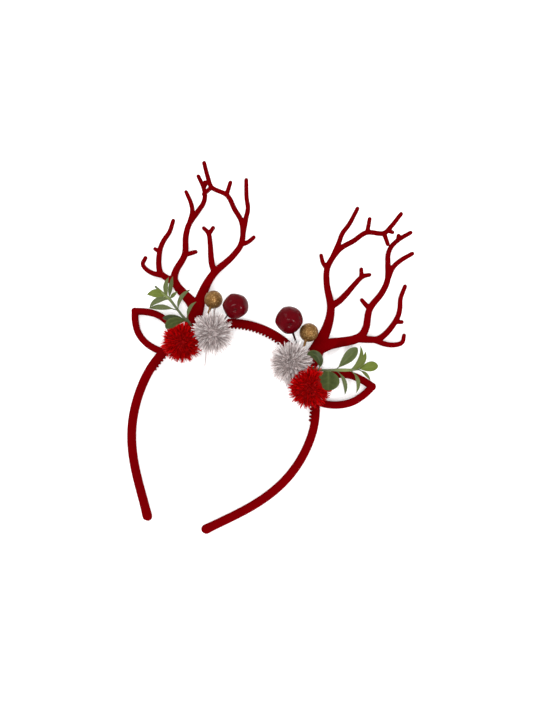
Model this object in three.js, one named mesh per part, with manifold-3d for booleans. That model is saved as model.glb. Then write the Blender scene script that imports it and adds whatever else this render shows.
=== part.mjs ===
// Reindeer antler headband, lying on its flat back with its front up. Millimetres.
// +X runs to the right of the front view, +Y from the crown to the antlers' tips, +Z to the front.
// The origin is on the flat back, in the middle of the band at the crown.

import Module from "manifold-3d";
import * as THREE from "three";
import { mergeVertices } from "three/addons/utils/BufferGeometryUtils.js";

// Band
const BAND_HALF_WIDTH = 61.2; // middle plane to the centreline, at the widest place
const BAND_LENGTH = 144.2; // crown to the end of a leg
const CROWN_RISE = 62; // widest place up to the crown
const END_HALF_GAP = 18.2; // middle plane to the centreline, at the ends
const BAND_WALL = 4.9; // inner to outer side
const BAND_DEPTH = 6; // back to front
const BAND_SHOULDER = 4.2; // height of the straight sides, below the rounded front
const BAND_CHAMFER = 0.6;
const BAND_STEP = 10; // arc between two sections
const LEG_PULL_TOP = 0.5; // how far a leg keeps its first direction, as a share of its height
const LEG_PULL_END = 0.35; // the same for its last direction
const END_SWELL = 1.12; // how much wider the ends are
const END_SWELL_REACH = 9;
const END_ROUND_ANGLES = [35, 62, 82]; // degrees at which the rounded end gets a section
const ARCH_STEPS = 4; // facets over the rounded front

// The two sides differ a little, as the band has been worn: half width, length and half gap in
// hundredths, and how many degrees a leg's end leans inwards.
const SIDES = {
  left: { sign: -1, halfWidth: 98.4, length: 102.1, halfGap: 102, slant: 37 },
  right: { sign: 1, halfWidth: 101.6, length: 97.9, halfGap: 96, slant: 43 },
};

// Teeth inside the crown
const TOOTH_PITCH = 2.7;
const TOOTH_WIDTH = 2.1;
const TOOTH_HEIGHT = 1.1;
const TOOTH_DEPTH = 3;
const TOOTH_ROOT = 0.5; // how deep a tooth starts in the band
const TOOTH_SIDES = 4;
const TEETH_REACH = 88; // arc from the crown to the last tooth

// Ears
const EAR_ARC = 65; // along the band's centreline from the crown
const EAR_LENGTH = 38.6;
const EAR_HALF_WIDTH = 10.6;
const EAR_LIMB = 4.35;
const EAR_DEPTH = 4.4;
const EAR_TILT = 24; // degrees of its axis above +X
const EAR_STEPS = 9; // from the foot to the tip of one limb
const EAR_TIP_SIDES = 12;
const EAR_FOOT = 1.5; // how far the limbs run on, before the band is cut away

// Half width of the ear's loop, both columns in hundredths of the ear's length and half width.
const EAR_OUTLINE = [
  { along: 0, half: 62 },
  { along: 18, half: 88 },
  { along: 40, half: 100 },
  { along: 63, half: 88 },
  { along: 83, half: 50 },
  { along: 100, half: 0 },
];

// Antlers
const ANTLER_ARC = 43.5; // along the band's centreline from the crown
const ANTLER_HEIGHT = 112;
const ANTLER_REACH = 57.5;
const TRUNK_WIDTH = 9.4;
const TRUNK_DEPTH = 4;
const TIP_DEPTH = 2.4;
const LIMB_STEP = 9; // longest stretch between two sections
const LIMB_END_ANGLE = 58; // degrees at which a limb's blunt end is cut

// How far an antler's beams bend to the front. It grows as a power of the height, and by its twist
// also with the distance out.
const INNER_BOW = { reach: 26, power: 3.2, twist: 22 };
const OUTER_BOW = { reach: 17.5, power: 2.3, twist: 0 };

// Limbs of an antler, from the foot: hundredths of its reach, its height and its trunk's width.
const ANTLER_LIMBS = [
  {
    name: "inner beam",
    bow: INNER_BOW,
    rows: [
      { out: 2.5, up: 0, width: 172 },
      { out: 8, up: 6, width: 122 },
      { out: 10, up: 14, width: 96 },
      { out: 11, up: 20, width: 80 },
      { out: 11.5, up: 27, width: 68 },
      { out: 10, up: 34.5, width: 58 },
      { out: 6.5, up: 40.5, width: 53 },
      { out: -7, up: 53, width: 44 },
      { out: -12.5, up: 63, width: 41 },
      { out: -5, up: 75, width: 37 },
      { out: 8.5, up: 81, width: 35 },
      { out: 21, up: 86.5, width: 33 },
      { out: 42, up: 87.5, width: 31 },
      { out: 48, up: 91, width: 30 },
      { out: 55.5, up: 97, width: 27 },
    ],
  },
  {
    name: "centre tine",
    bow: INNER_BOW,
    rows: [
      { out: 7.5, up: 40, width: 46 },
      { out: 14.5, up: 44.5, width: 44 },
      { out: 20, up: 50, width: 41 },
      { out: 25, up: 56, width: 36 },
      { out: 32, up: 62.5, width: 32 },
      { out: 39.5, up: 64.5, width: 26 },
    ],
  },
  {
    name: "centre tine's upper point",
    bow: INNER_BOW,
    rows: [
      { out: 31, up: 62, width: 30 },
      { out: 28, up: 66.5, width: 26 },
    ],
  },
  {
    name: "inner side tine",
    bow: INNER_BOW,
    rows: [
      { out: -12.5, up: 62, width: 33 },
      { out: -20, up: 65, width: 29 },
      { out: -25, up: 69, width: 26 },
    ],
  },
  {
    name: "inner upright tine",
    bow: INNER_BOW,
    rows: [
      { out: -10.5, up: 69.5, width: 36 },
      { out: -8.5, up: 78, width: 34 },
      { out: -7.5, up: 84, width: 32 },
      { out: -2.5, up: 89.5, width: 30 },
      { out: 2.5, up: 98, width: 27 },
    ],
  },
  {
    name: "top tine",
    bow: INNER_BOW,
    rows: [
      { out: 22, up: 87, width: 30 },
      { out: 20.5, up: 93.5, width: 26 },
    ],
  },
  {
    name: "inner low point",
    bow: INNER_BOW,
    rows: [
      { out: 42, up: 87.5, width: 30 },
      { out: 50, up: 82.5, width: 26 },
    ],
  },
  {
    name: "inner short point",
    bow: INNER_BOW,
    rows: [
      { out: 45.5, up: 89, width: 28 },
      { out: 51.5, up: 88.5, width: 25 },
    ],
  },
  {
    name: "outer beam",
    bow: OUTER_BOW,
    rows: [
      { out: 9, up: 10.5, width: 90 },
      { out: 20, up: 16, width: 82 },
      { out: 32, up: 19.5, width: 68 },
      { out: 46, up: 23.5, width: 62 },
      { out: 53.5, up: 27.5, width: 56 },
      { out: 55.5, up: 33, width: 50 },
      { out: 52.5, up: 45, width: 45 },
      { out: 60, up: 57, width: 42 },
      { out: 61.5, up: 65, width: 40 },
      { out: 56, up: 74.5, width: 37 },
      { out: 52.5, up: 80.5, width: 34 },
      { out: 53.5, up: 85.5, width: 32 },
      { out: 59.5, up: 90.5, width: 30 },
      { out: 70, up: 96, width: 27 },
    ],
  },
  {
    name: "outer beam's short point",
    bow: OUTER_BOW,
    rows: [
      { out: 53, up: 45, width: 34 },
      { out: 46, up: 47, width: 30 },
      { out: 40, up: 49, width: 26 },
    ],
  },
  {
    name: "outer top point",
    bow: OUTER_BOW,
    rows: [
      { out: 58.5, up: 89.5, width: 29 },
      { out: 57.5, up: 92.5, width: 26 },
    ],
  },
  {
    name: "outer upper tine",
    bow: OUTER_BOW,
    rows: [
      { out: 61.5, up: 65, width: 36 },
      { out: 63, up: 73.5, width: 33 },
      { out: 68.5, up: 78.5, width: 31 },
      { out: 79.5, up: 84.5, width: 27 },
    ],
  },
  {
    name: "low beam",
    bow: OUTER_BOW,
    rows: [
      { out: 49, up: 25, width: 55 },
      { out: 62, up: 26.5, width: 47 },
      { out: 73, up: 28.5, width: 43 },
      { out: 80.5, up: 34, width: 40 },
      { out: 86.5, up: 44.5, width: 36 },
      { out: 86, up: 50.5, width: 34 },
      { out: 83, up: 56.5, width: 31 },
      { out: 83.5, up: 64.5, width: 27 },
    ],
  },
  {
    name: "low beam's short point",
    bow: OUTER_BOW,
    rows: [
      { out: 85.5, up: 42, width: 29 },
      { out: 93, up: 43, width: 26 },
    ],
  },
  {
    name: "hook",
    bow: OUTER_BOW,
    rows: [
      { out: 68, up: 27.5, width: 38 },
      { out: 84.5, up: 27, width: 33 },
      { out: 95, up: 28.5, width: 31 },
      { out: 101, up: 31, width: 29 },
      { out: 100.5, up: 35.5, width: 26 },
    ],
  },
];

// Tinsel pompoms, which sit on the band's front
const POMPOM_HEART = 10.8; // radius of the dense middle
const POMPOM_REACH = 15; // radius out to the tinsel's tips
const POMPOM_LIFT = 6.5; // from the band's front to the middle
const LOCK_COUNT = 24;
const LOCK_RADIUS = 2.3;
const LOCK_SIDES = 4;
const LOCK_ROOT = 0.85; // where a lock starts, as a share of the heart's radius
const HEART_DETAIL = 2; // how often the heart's facets are divided

// Where each pompom sits, in hundredths: its arc from the crown, of the arc of what it is near, and
// its distance from the centreline to the inner side, of its reach.
const POMPOMS = [
  { name: "silver_pompom_left", look: "silver", near: ANTLER_ARC, arc: -72, inward: 67 },
  { name: "silver_pompom_right", look: "silver", near: ANTLER_ARC, arc: 96.5, inward: 53 },
  { name: "red_pompom_left", look: "red", near: EAR_ARC, arc: -87.5, inward: 50 },
  { name: "red_pompom_right", look: "red", near: EAR_ARC, arc: 99.5, inward: 17 },
];

// Gold balls and berries on stems, which leave the silver pompoms
const BALL_RADIUS = 6.4;
const BALL_STEM_RADIUS = 0.9;
const BALL_SIDES = 11;
const BALL_RINGS = 8;
const BERRY_RADIUS = 8.8;
const BERRY_STEM_RADIUS = 0.65;
const BERRY_SIDES = 12;
const BERRY_RINGS = 9;
const BERRY_LUMP = 0.025; // how far one wave lifts its skin, as a share of the radius
const BERRY_DIMPLE = 1.6;
const BERRY_DIMPLE_WIDTH = 2.6;
const BERRY_EYE = { x: 0.5, y: -0.8, z: 1 }; // the way that its dimple faces
const STEM_SIDES = 8;
const STEM_ROOT = 1; // how deep a stem starts in its ball

// Waves of a berry's uneven skin, in radians over a ball of radius one
const BERRY_WAVES = [
  { x: 3, y: 4, z: 0, shift: -1 },
  { x: 3, y: -4, z: 0, shift: 2 },
  { x: 2, y: 0, z: 5, shift: 0 },
];

// Places from the middle of a silver pompom: degrees from +X, and distance in plan and height in
// hundredths of the pompom's reach. The foot is where the stem leaves the pompom, also in degrees.
// The size is in hundredths.
const PICKS = [
  { name: "gold_ball_left", kind: "gold", pompom: 0, turn: 111, reach: 167, rise: -3, foot: 137, size: 100 },
  { name: "gold_ball_right", kind: "gold", pompom: 1, turn: 82, reach: 167, rise: -13, foot: 72, size: 100 },
  { name: "berry_left", kind: "berry", pompom: 0, turn: 69, reach: 161, rise: 19, foot: 75, size: 100 },
  { name: "berry_right", kind: "berry", pompom: 1, turn: 112, reach: 193, rise: 31, foot: 90, size: 105 },
];

// Leaf sprigs, whose stems start on the antlers' feet
const SPRIG_LENGTH = 38;
const SPRIG_RISE = 4;
const STALK_WIDTH = 1.8;
const TWIG_END = 0.75; // share of the stem's width left at its tip
const STEM_CORNERS = 5;
const SPRIG_STEPS = 8;
const LEAF_LENGTH = 18;
const LEAF_WIDTH = 12;
const LEAF_THICK = 0.9;
const LEAF_EDGE = 0.3; // how far a leaf's edges stand up, as a share of its thickness
const LEAF_STALK = 0.35; // width of a leaf's stalk, as a share of the stem's
const LEAF_STATIONS = [0, 0.3, 0.7, 1]; // shares of the blade that get a section

// Leaf forms in hundredths: how much of its length is stalk, how pointed its ends are, and how far
// out it is widest.
const LEAF_FORMS = {
  slim: { stalk: 22, point: 90, belly: 90 },
  lance: { stalk: 9, point: 85, belly: 90 },
  oval: { stalk: 14, point: 60, belly: 115 },
  spoon: { stalk: 14, point: 55, belly: 150 },
  round: { stalk: 6, point: 45, belly: 130 },
};

// Stems and leaves in hundredths: of the sprig's length and rise, and of a leaf's length and width. The
// foot is the stem's start from the antler's foot, of the sprig's length.
// A leaf leaves the stem at a share of its length. It heads off at a turn and curls by its tip, seen
// from the front, rises and then sags, and is rolled about its own run, all in degrees.
const SPRIGS = [
  {
    name: "leaf_sprig_left",
    side: "left",
    foot: { out: 9.5, up: 1.3 },
    stem: [
      { out: 0, up: 0, rise: 0 },
      { out: 7, up: 5, rise: 45 },
      { out: 16, up: 8, rise: 85 },
      { out: 34, up: 19, rise: 100 },
      { out: 56, up: 33, rise: 105 },
      { out: 66, up: 37, rise: 110 },
      { out: 92, up: 48, rise: 120 },
    ],
    leaves: [
      { form: "lance", at: 70, turn: 13, curl: -52, roll: 10, length: 83, width: 52, rise: 6, sag: -4 },
      { form: "lance", at: 62, turn: 0, curl: -82, roll: 10, length: 94, width: 35, rise: 2, sag: -6 },
      { form: "lance", at: 67, turn: 40, curl: 70, roll: -20, length: 84, width: 29, rise: 28, sag: -8 },
      { form: "lance", at: 65, turn: 83, curl: 2, roll: 15, length: 88, width: 31, rise: 22, sag: 4 },
      { form: "lance", at: 64, turn: 126, curl: 0, roll: 0, length: 44, width: 24, rise: 20, sag: 0 },
      { form: "lance", at: 36, turn: 63, curl: 80, roll: -15, length: 103, width: 24, rise: 16, sag: -8 },
      { form: "slim", at: 36, turn: 2, curl: -28, roll: 0, length: 125, width: 35, rise: -2, sag: -4 },
      { form: "slim", at: 9, turn: 55, curl: 84, roll: 0, length: 90, width: 22, rise: 28, sag: -14 },
      { form: "oval", at: 9, turn: -6, curl: -12, roll: 0, length: 102, width: 46, rise: 10, sag: -8 },
      { form: "spoon", at: 8, turn: -8, curl: -78, roll: 10, length: 102, width: 58, rise: 34, sag: -24 },
    ],
  },
  {
    name: "leaf_sprig_right",
    side: "right",
    foot: { out: 16, up: -6 },
    stem: [
      { out: 0, up: 0, rise: 0 },
      { out: 12, up: -2, rise: 55 },
      { out: 24, up: -1, rise: 105 },
      { out: 45, up: 6, rise: 120 },
      { out: 66, up: 13, rise: 125 },
      { out: 82, up: 20, rise: 125 },
    ],
    leaves: [
      { form: "oval", at: 20, turn: 62, curl: 174, roll: 0, length: 101, width: 50, rise: 42, sag: -16 },
      { form: "round", at: 41, turn: -68, curl: -4, roll: -10, length: 90, width: 120, rise: 32, sag: -30 },
      { form: "spoon", at: 55, turn: 57, curl: 12, roll: 4, length: 114, width: 62, rise: 16, sag: -4 },
      { form: "lance", at: 82, turn: 38, curl: 92, roll: 20, length: 108, width: 27, rise: 6, sag: 8 },
      { form: "lance", at: 85, turn: 30, curl: 80, roll: -15, length: 94, width: 34, rise: 6, sag: 2 },
      { form: "spoon", at: 96, turn: 27, curl: -2, roll: -10, length: 80, width: 62, rise: 10, sag: -4 },
      { form: "slim", at: 55, turn: -12, curl: -76, roll: 0, length: 104, width: 24, rise: -12, sag: -8 },
      { form: "slim", at: 83, turn: -8, curl: -94, roll: 0, length: 96, width: 22, rise: -14, sag: -6 },
      { form: "slim", at: 98, turn: 6, curl: -50, roll: 0, length: 65, width: 18, rise: -18, sag: -4 },
    ],
  },
];

// Gap kept between touching pieces
const GAP = 0.3;

const MATERIALS = {
  flock: { color: 0x8a0509, roughness: 0.95, metalness: 0 },
  silver: { color: 0xb7abab, roughness: 0.35, metalness: 0.6 },
  red: { color: 0xa80a0e, roughness: 0.4, metalness: 0.4 },
  gold: { color: 0xa5813f, roughness: 0.5, metalness: 0.7 },
  berry: { color: 0x6a0512, roughness: 0.2, metalness: 0 },
  leaf: { color: 0x647a3c, roughness: 0.55, metalness: 0 },
};

const UP = new THREE.Vector3(0, 0, 1);

const wasm = await Module();
wasm.setup();

// Solids and meshes

function toSolid(geometry) {
  geometry.deleteAttribute("normal");
  geometry.deleteAttribute("uv");
  const merged = mergeVertices(geometry);
  const mesh = new wasm.Mesh({
    numProp: 3,
    vertProperties: new Float32Array(merged.attributes.position.array),
    triVerts: new Uint32Array(merged.index.array),
  });
  return new wasm.Manifold(mesh);
}

function toGeometry(solid) {
  const mesh = solid.getMesh();
  const geometry = new THREE.BufferGeometry();
  geometry.setAttribute("position", new THREE.BufferAttribute(mesh.vertProperties, mesh.numProp));
  geometry.setIndex(new THREE.BufferAttribute(mesh.triVerts, 1));
  geometry.computeVertexNormals();
  return geometry;
}

function join(solids) {
  return wasm.Manifold.union(solids);
}

function cut(solid, tools) {
  return solid.subtract(join(tools));
}

function makePiece(name, solid, origin, look) {
  const geometry = toGeometry(solid.translate([-origin.x, -origin.y, -origin.z]));
  const mesh = new THREE.Mesh(geometry, new THREE.MeshStandardMaterial(MATERIALS[look]));
  mesh.name = name;
  mesh.position.copy(origin);
  return mesh;
}

// Skins a row of rings that all have the same number of points, and closes both ends.
function loft(rings) {
  const size = rings[0].length;
  const faces = [];
  for (let ring = 0; ring < rings.length - 1; ring += 1) {
    for (let corner = 0; corner < size; corner += 1) {
      const here = ring * size + corner;
      const next = ring * size + ((corner + 1) % size);
      faces.push(here, next, next + size, here, next + size, here + size);
    }
  }
  const last = (rings.length - 1) * size;
  for (let corner = 1; corner < size - 1; corner += 1) {
    faces.push(0, corner + 1, corner);
    faces.push(last, last + corner, last + corner + 1);
  }
  const geometry = new THREE.BufferGeometry().setFromPoints(rings.flat());
  geometry.setIndex(faces);
  return toSolid(geometry);
}

// Places a flat section at a point. The section's first axis is side and its second is face.
function placeRing(section, point, side, face) {
  return section.map(([across, out]) =>
    point.clone().addScaledVector(side, across).addScaledVector(face, out),
  );
}

// Places a section across a tangent, with its second axis as near to the front as it can be.
function levelRing(section, point, tangent, roll = 0) {
  const side = new THREE.Vector3().crossVectors(UP, tangent).normalize();
  side.applyAxisAngle(tangent, THREE.MathUtils.degToRad(roll));
  const face = new THREE.Vector3().crossVectors(tangent, side);
  return placeRing(section, point, side, face);
}

// A rounded rectangle of eight points.
function plateSection(width, depth) {
  const softness = 0.55;
  const corners = 8;
  const reach = Math.cos(Math.PI / corners) ** softness;
  return Array.from({ length: corners }, (_, corner) => {
    const angle = ((corner + 0.5) * 2 * Math.PI) / corners;
    const across = Math.sign(Math.cos(angle)) * Math.abs(Math.cos(angle)) ** softness;
    const out = Math.sign(Math.sin(angle)) * Math.abs(Math.sin(angle)) ** softness;
    return [((across / reach) * width) / 2, ((out / reach) * depth) / 2];
  });
}

function roundSection(radius, sides) {
  return Array.from({ length: sides }, (_, corner) => {
    const angle = (corner * 2 * Math.PI) / sides;
    return [radius * Math.cos(angle), radius * Math.sin(angle)];
  });
}

// Reads a column of a table at a place between two of its rows.
function readColumn(rows, column, place) {
  const low = Math.min(Math.floor(place), rows.length - 2);
  return THREE.MathUtils.lerp(rows[low][column], rows[low + 1][column], place - low);
}

function ofHundred(value) {
  return value / 100;
}

function turnedVector(degrees, length) {
  const angle = THREE.MathUtils.degToRad(degrees);
  return new THREE.Vector3(length * Math.cos(angle), length * Math.sin(angle), 0);
}

function mirrorX(point, sign) {
  return new THREE.Vector3(sign * point.x, point.y, point.z);
}

// Band

// The right half of the band's centreline, from the crown to the end, with the sizes of one side.
function bandHalf(side) {
  const halfWidth = BAND_HALF_WIDTH * ofHundred(side.halfWidth);
  const length = BAND_LENGTH * ofHundred(side.length);
  const quarter = new THREE.EllipseCurve(
    0, -CROWN_RISE, halfWidth, CROWN_RISE, Math.PI / 2, 0, true,
  );
  const widest = new THREE.Vector2(halfWidth, -CROWN_RISE);
  const end = new THREE.Vector2(END_HALF_GAP * ofHundred(side.halfGap), -length);
  const height = length - CROWN_RISE;
  const outward = new THREE.Vector2(0, 1).rotateAround(
    new THREE.Vector2(), -THREE.MathUtils.degToRad(side.slant),
  );
  const leg = new THREE.CubicBezierCurve(
    widest,
    new THREE.Vector2(widest.x, widest.y - LEG_PULL_TOP * height),
    end.clone().addScaledVector(outward, LEG_PULL_END * height),
    end,
  );
  const path = new THREE.CurvePath();
  path.add(quarter);
  path.add(leg);
  return path;
}

const BAND_PATHS = { left: bandHalf(SIDES.left), right: bandHalf(SIDES.right) };

// Point, direction of travel and outward side at an arc from the crown, negative on the left.
function bandAt(arc) {
  const side = arc < 0 ? "left" : "right";
  const { sign } = SIDES[side];
  const path = BAND_PATHS[side];
  const share = Math.min(Math.abs(arc) / path.getLength(), 1);
  const flat = path.getPointAt(share);
  const along = path.getTangentAt(share);
  const tangent = new THREE.Vector3(along.x, sign * along.y, 0);
  return {
    point: new THREE.Vector3(sign * flat.x, flat.y, 0),
    tangent,
    outward: new THREE.Vector3().crossVectors(UP, tangent),
  };
}

// The band's section: a flat back, straight sides and a rounded front, grown more on its inner side.
function bandSection(swell, roundOff, grow, inside) {
  const half = (BAND_WALL / 2) * swell * roundOff + grow;
  const crest = (BAND_DEPTH - BAND_SHOULDER) * roundOff + grow;
  const arch = Array.from({ length: ARCH_STEPS + 1 }, (_, step) => {
    const angle = (Math.PI * step) / ARCH_STEPS;
    return [half * Math.cos(angle), BAND_SHOULDER + crest * Math.sin(angle)];
  });
  const chamfer = BAND_CHAMFER * roundOff;
  const section = [
    [half - chamfer, -grow],
    [half, BAND_CHAMFER - grow],
    ...arch,
    [-half, BAND_CHAMFER - grow],
    [chamfer - half, -grow],
  ];
  return section.map(([across, out]) => [across < 0 ? across - inside : across, out]);
}

// Rings of one side, from the crown to the rounded end.
function bandRings(side, grow, inside) {
  const { sign } = SIDES[side];
  const arcLength = BAND_PATHS[side].getLength();
  const halfWall = (BAND_WALL * END_SWELL) / 2;
  const lastArc = arcLength - halfWall;
  const ringAt = (arc, roundOff) => {
    const { point, outward } = bandAt(sign * arc);
    const nearness = Math.max(0, 1 - (arcLength - arc) / END_SWELL_REACH);
    const swell = THREE.MathUtils.lerp(1, END_SWELL, nearness);
    return placeRing(bandSection(swell, roundOff, grow, inside), point, outward, UP);
  };
  const steps = Math.ceil(lastArc / BAND_STEP);
  const rings = [];
  for (let step = 0; step <= steps; step += 1) {
    rings.push(ringAt((lastArc * step) / steps, 1));
  }
  for (const degrees of END_ROUND_ANGLES) {
    const angle = THREE.MathUtils.degToRad(degrees);
    rings.push(ringAt(lastArc + halfWall * Math.sin(angle), Math.cos(angle)));
  }
  return rings;
}

function bandBody(grow, inside) {
  const left = bandRings("left", grow, inside).slice(1).reverse();
  return loft([...left, ...bandRings("right", grow, inside)]);
}

function bandTooth(arc) {
  const { point, outward } = bandAt(arc);
  const inward = outward.clone().negate();
  const height = TOOTH_HEIGHT + TOOTH_ROOT;
  const cone = new THREE.ConeGeometry(TOOTH_WIDTH / 2, height, TOOTH_SIDES);
  cone.scale(1, 1, TOOTH_DEPTH / TOOTH_WIDTH);
  const side = new THREE.Vector3().crossVectors(inward, UP);
  const seat = point.clone().addScaledVector(inward, BAND_WALL / 2 - TOOTH_ROOT + height / 2);
  seat.z = (BAND_SHOULDER + BAND_CHAMFER) / 2;
  cone.applyMatrix4(new THREE.Matrix4().makeBasis(side, inward, UP).setPosition(seat));
  return toSolid(cone);
}

function bandSolid() {
  const solids = [bandBody(0, 0)];
  const count = Math.floor(TEETH_REACH / TOOTH_PITCH);
  for (let tooth = 0; tooth < count; tooth += 1) {
    const arc = (tooth + 0.5) * TOOTH_PITCH;
    solids.push(bandTooth(arc), bandTooth(-arc));
  }
  return join(solids);
}

// Ears

// One limb of an ear, above its axis or below it, from its foot to the middle of the tip.
function earLimb(root, axis, across, grow) {
  const rows = EAR_OUTLINE.map((row) => new THREE.Vector2(row.along, row.half));
  const path = new THREE.SplineCurve(rows).getSpacedPoints(EAR_STEPS).map((row) => {
    const along = EAR_LENGTH * ofHundred(row.x);
    const half = EAR_HALF_WIDTH * ofHundred(row.y);
    return root.clone().addScaledVector(axis, along).addScaledVector(across, half);
  });
  path.unshift(path[0].clone().addScaledVector(axis, -EAR_FOOT));
  const section = plateSection(EAR_LIMB + 2 * grow, EAR_DEPTH + 2 * grow);
  const rings = path.map((point, place) => {
    const before = path[Math.max(place - 1, 0)];
    const after = path[Math.min(place + 1, path.length - 1)];
    const tangent = after.clone().sub(before).normalize();
    return placeRing(section, point, new THREE.Vector3().crossVectors(UP, tangent), UP);
  });
  return loft(rings);
}

// The rounded tip where both limbs of an ear meet: their section, turned about its own middle.
function earTip(place, grow) {
  const half = plateSection(EAR_LIMB + 2 * grow, EAR_DEPTH + 2 * grow);
  const rim = half.filter(([across]) => across > 0).sort((low, high) => low[1] - high[1]);
  const profile = [[0, rim[0][1]], ...rim, [0, rim[rim.length - 1][1]]];
  const plate = new THREE.LatheGeometry(
    profile.map(([across, height]) => new THREE.Vector2(across, height)), EAR_TIP_SIDES,
  );
  return toSolid(plate.rotateX(Math.PI / 2).translate(place.x, place.y, place.z));
}

function earSolid(sign, grow) {
  const root = bandAt(sign * EAR_ARC).point;
  root.z = BAND_DEPTH / 2;
  const axis = mirrorX(turnedVector(EAR_TILT, 1), sign);
  const across = new THREE.Vector3().crossVectors(UP, axis);
  const tip = root.clone().addScaledVector(axis, EAR_LENGTH);
  const limbs = [across, across.clone().negate()].map((side) => earLimb(root, axis, side, grow));
  return join([...limbs, earTip(tip, grow)]);
}

// Antlers

function antlerFoot(sign) {
  const foot = bandAt(sign * ANTLER_ARC).point;
  foot.z = BAND_DEPTH / 2;
  return foot;
}

function antlerPoint(row, bow, foot, sign) {
  const out = ofHundred(row.out);
  const up = ofHundred(row.up);
  const forward = (bow.reach + bow.twist * out) * Math.max(up, 0) ** bow.power;
  return foot.clone().add(new THREE.Vector3(sign * out * ANTLER_REACH, up * ANTLER_HEIGHT, forward));
}

// The direction that a bowed plate faces at a height, where its limb runs along a tangent.
function bowFace(bow, height, tangent) {
  const up = Math.max(height / ANTLER_HEIGHT, 0);
  const slope = (bow.reach * bow.power * up ** (bow.power - 1)) / ANTLER_HEIGHT;
  const face = new THREE.Vector3(0, -slope, 1);
  return face.addScaledVector(tangent, -face.dot(tangent)).normalize();
}

function limbSolid({ bow, rows }, foot, sign, grow) {
  const path = new THREE.CatmullRomCurve3(rows.map((row) => antlerPoint(row, bow, foot, sign)));
  const steps = Math.max(Math.ceil(path.getLength() / LIMB_STEP), rows.length - 1);
  const ringAt = (share, beyond, roundOff) => {
    const place = path.getUtoTmapping(share) * (rows.length - 1);
    const width = TRUNK_WIDTH * ofHundred(readColumn(rows, "width", place));
    const thick = THREE.MathUtils.smoothstep(width, 0, TRUNK_WIDTH);
    const depth = THREE.MathUtils.lerp(TIP_DEPTH, TRUNK_DEPTH, thick);
    const tangent = path.getTangentAt(share);
    const point = path.getPointAt(share).addScaledVector(tangent, (beyond * width) / 2);
    const face = bowFace(bow, point.y - foot.y, tangent);
    const sideways = new THREE.Vector3().crossVectors(face, tangent);
    const section = plateSection(width * roundOff + 2 * grow, depth * roundOff + 2 * grow);
    return placeRing(section, point, sideways, face);
  };
  const rings = [];
  for (let step = 0; step <= steps; step += 1) {
    rings.push(ringAt(step / steps, 0, 1));
  }
  const endAngle = THREE.MathUtils.degToRad(LIMB_END_ANGLE);
  rings.push(ringAt(1, Math.sin(endAngle), Math.cos(endAngle)));
  return loft(rings);
}

function antlerSolid(sign, grow) {
  const foot = antlerFoot(sign);
  return join(ANTLER_LIMBS.map((limb) => limbSolid(limb, foot, sign, grow)));
}

// Leaf sprigs

function sprigRoot(sprig) {
  const { sign } = SIDES[sprig.side];
  const root = antlerFoot(sign);
  root.x += sign * SPRIG_LENGTH * ofHundred(sprig.foot.out);
  root.y += SPRIG_LENGTH * ofHundred(sprig.foot.up);
  root.z = (BAND_DEPTH + TRUNK_DEPTH) / 2 + GAP + STALK_WIDTH / 2;
  return root;
}

function sprigPath(sprig, root) {
  const { sign } = SIDES[sprig.side];
  const points = sprig.stem.map((row) => {
    const out = sign * SPRIG_LENGTH * ofHundred(row.out);
    const up = SPRIG_LENGTH * ofHundred(row.up);
    const rise = SPRIG_RISE * ofHundred(row.rise);
    return root.clone().add(new THREE.Vector3(out, up, rise));
  });
  return new THREE.CatmullRomCurve3(points);
}

function sprigStem(path, grow) {
  const rings = [];
  for (let step = 0; step <= SPRIG_STEPS; step += 1) {
    const share = step / SPRIG_STEPS;
    const radius = (STALK_WIDTH / 2) * THREE.MathUtils.lerp(1, TWIG_END, share);
    const section = roundSection(radius + grow, STEM_CORNERS);
    rings.push(levelRing(section, path.getPointAt(share), path.getTangentAt(share)));
  }
  return loft(rings);
}

// Width of a leaf at a share of its blade.
function leafWidth(row, share) {
  const form = LEAF_FORMS[row.form];
  const width = LEAF_WIDTH * ofHundred(row.width);
  const swelling = Math.sin(Math.PI * share ** ofHundred(form.belly)) ** ofHundred(form.point);
  return Math.max(width * swelling, STALK_WIDTH * LEAF_STALK);
}

function leafSection(width, grow) {
  const edge = LEAF_THICK * LEAF_EDGE;
  return [
    [width / 2 + grow, edge],
    [0, LEAF_THICK / 2 + grow],
    [-width / 2 - grow, edge],
    [0, -LEAF_THICK / 2 - grow],
  ];
}

// Walks along a leaf from its base, turning and sagging, and skins a section at each station.
function leafSolid(row, base, sign, grow) {
  const length = LEAF_LENGTH * ofHundred(row.length);
  const stalk = ofHundred(LEAF_FORMS[row.form].stalk);
  const stations = [0, ...LEAF_STATIONS.map((share) => stalk + (1 - stalk) * share)];
  const point = base.clone();
  const rings = stations.map((share, place) => {
    const before = place === 0 ? 0 : stations[place - 1];
    const middle = (share + before) / 2;
    const pitch = THREE.MathUtils.degToRad(row.rise + row.sag * middle);
    const heading = turnedVector(row.turn + row.curl * middle, Math.cos(pitch));
    const tangent = mirrorX(heading, sign);
    tangent.z = Math.sin(pitch);
    point.addScaledVector(tangent, (share - before) * length);
    const blade = Math.max((share - stalk) / (1 - stalk), 0);
    const section = leafSection(leafWidth(row, blade), grow);
    return levelRing(section, point.clone(), tangent, sign * row.roll);
  });
  return loft(rings);
}

function sprigSolid(sprig, root, grow) {
  const { sign } = SIDES[sprig.side];
  const path = sprigPath(sprig, root);
  const leaves = sprig.leaves.map((row) => {
    const base = path.getPointAt(ofHundred(row.at));
    return leafSolid(row, base, sign, grow);
  });
  return join([sprigStem(path, grow), ...leaves]);
}

// Gold balls and berries

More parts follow.
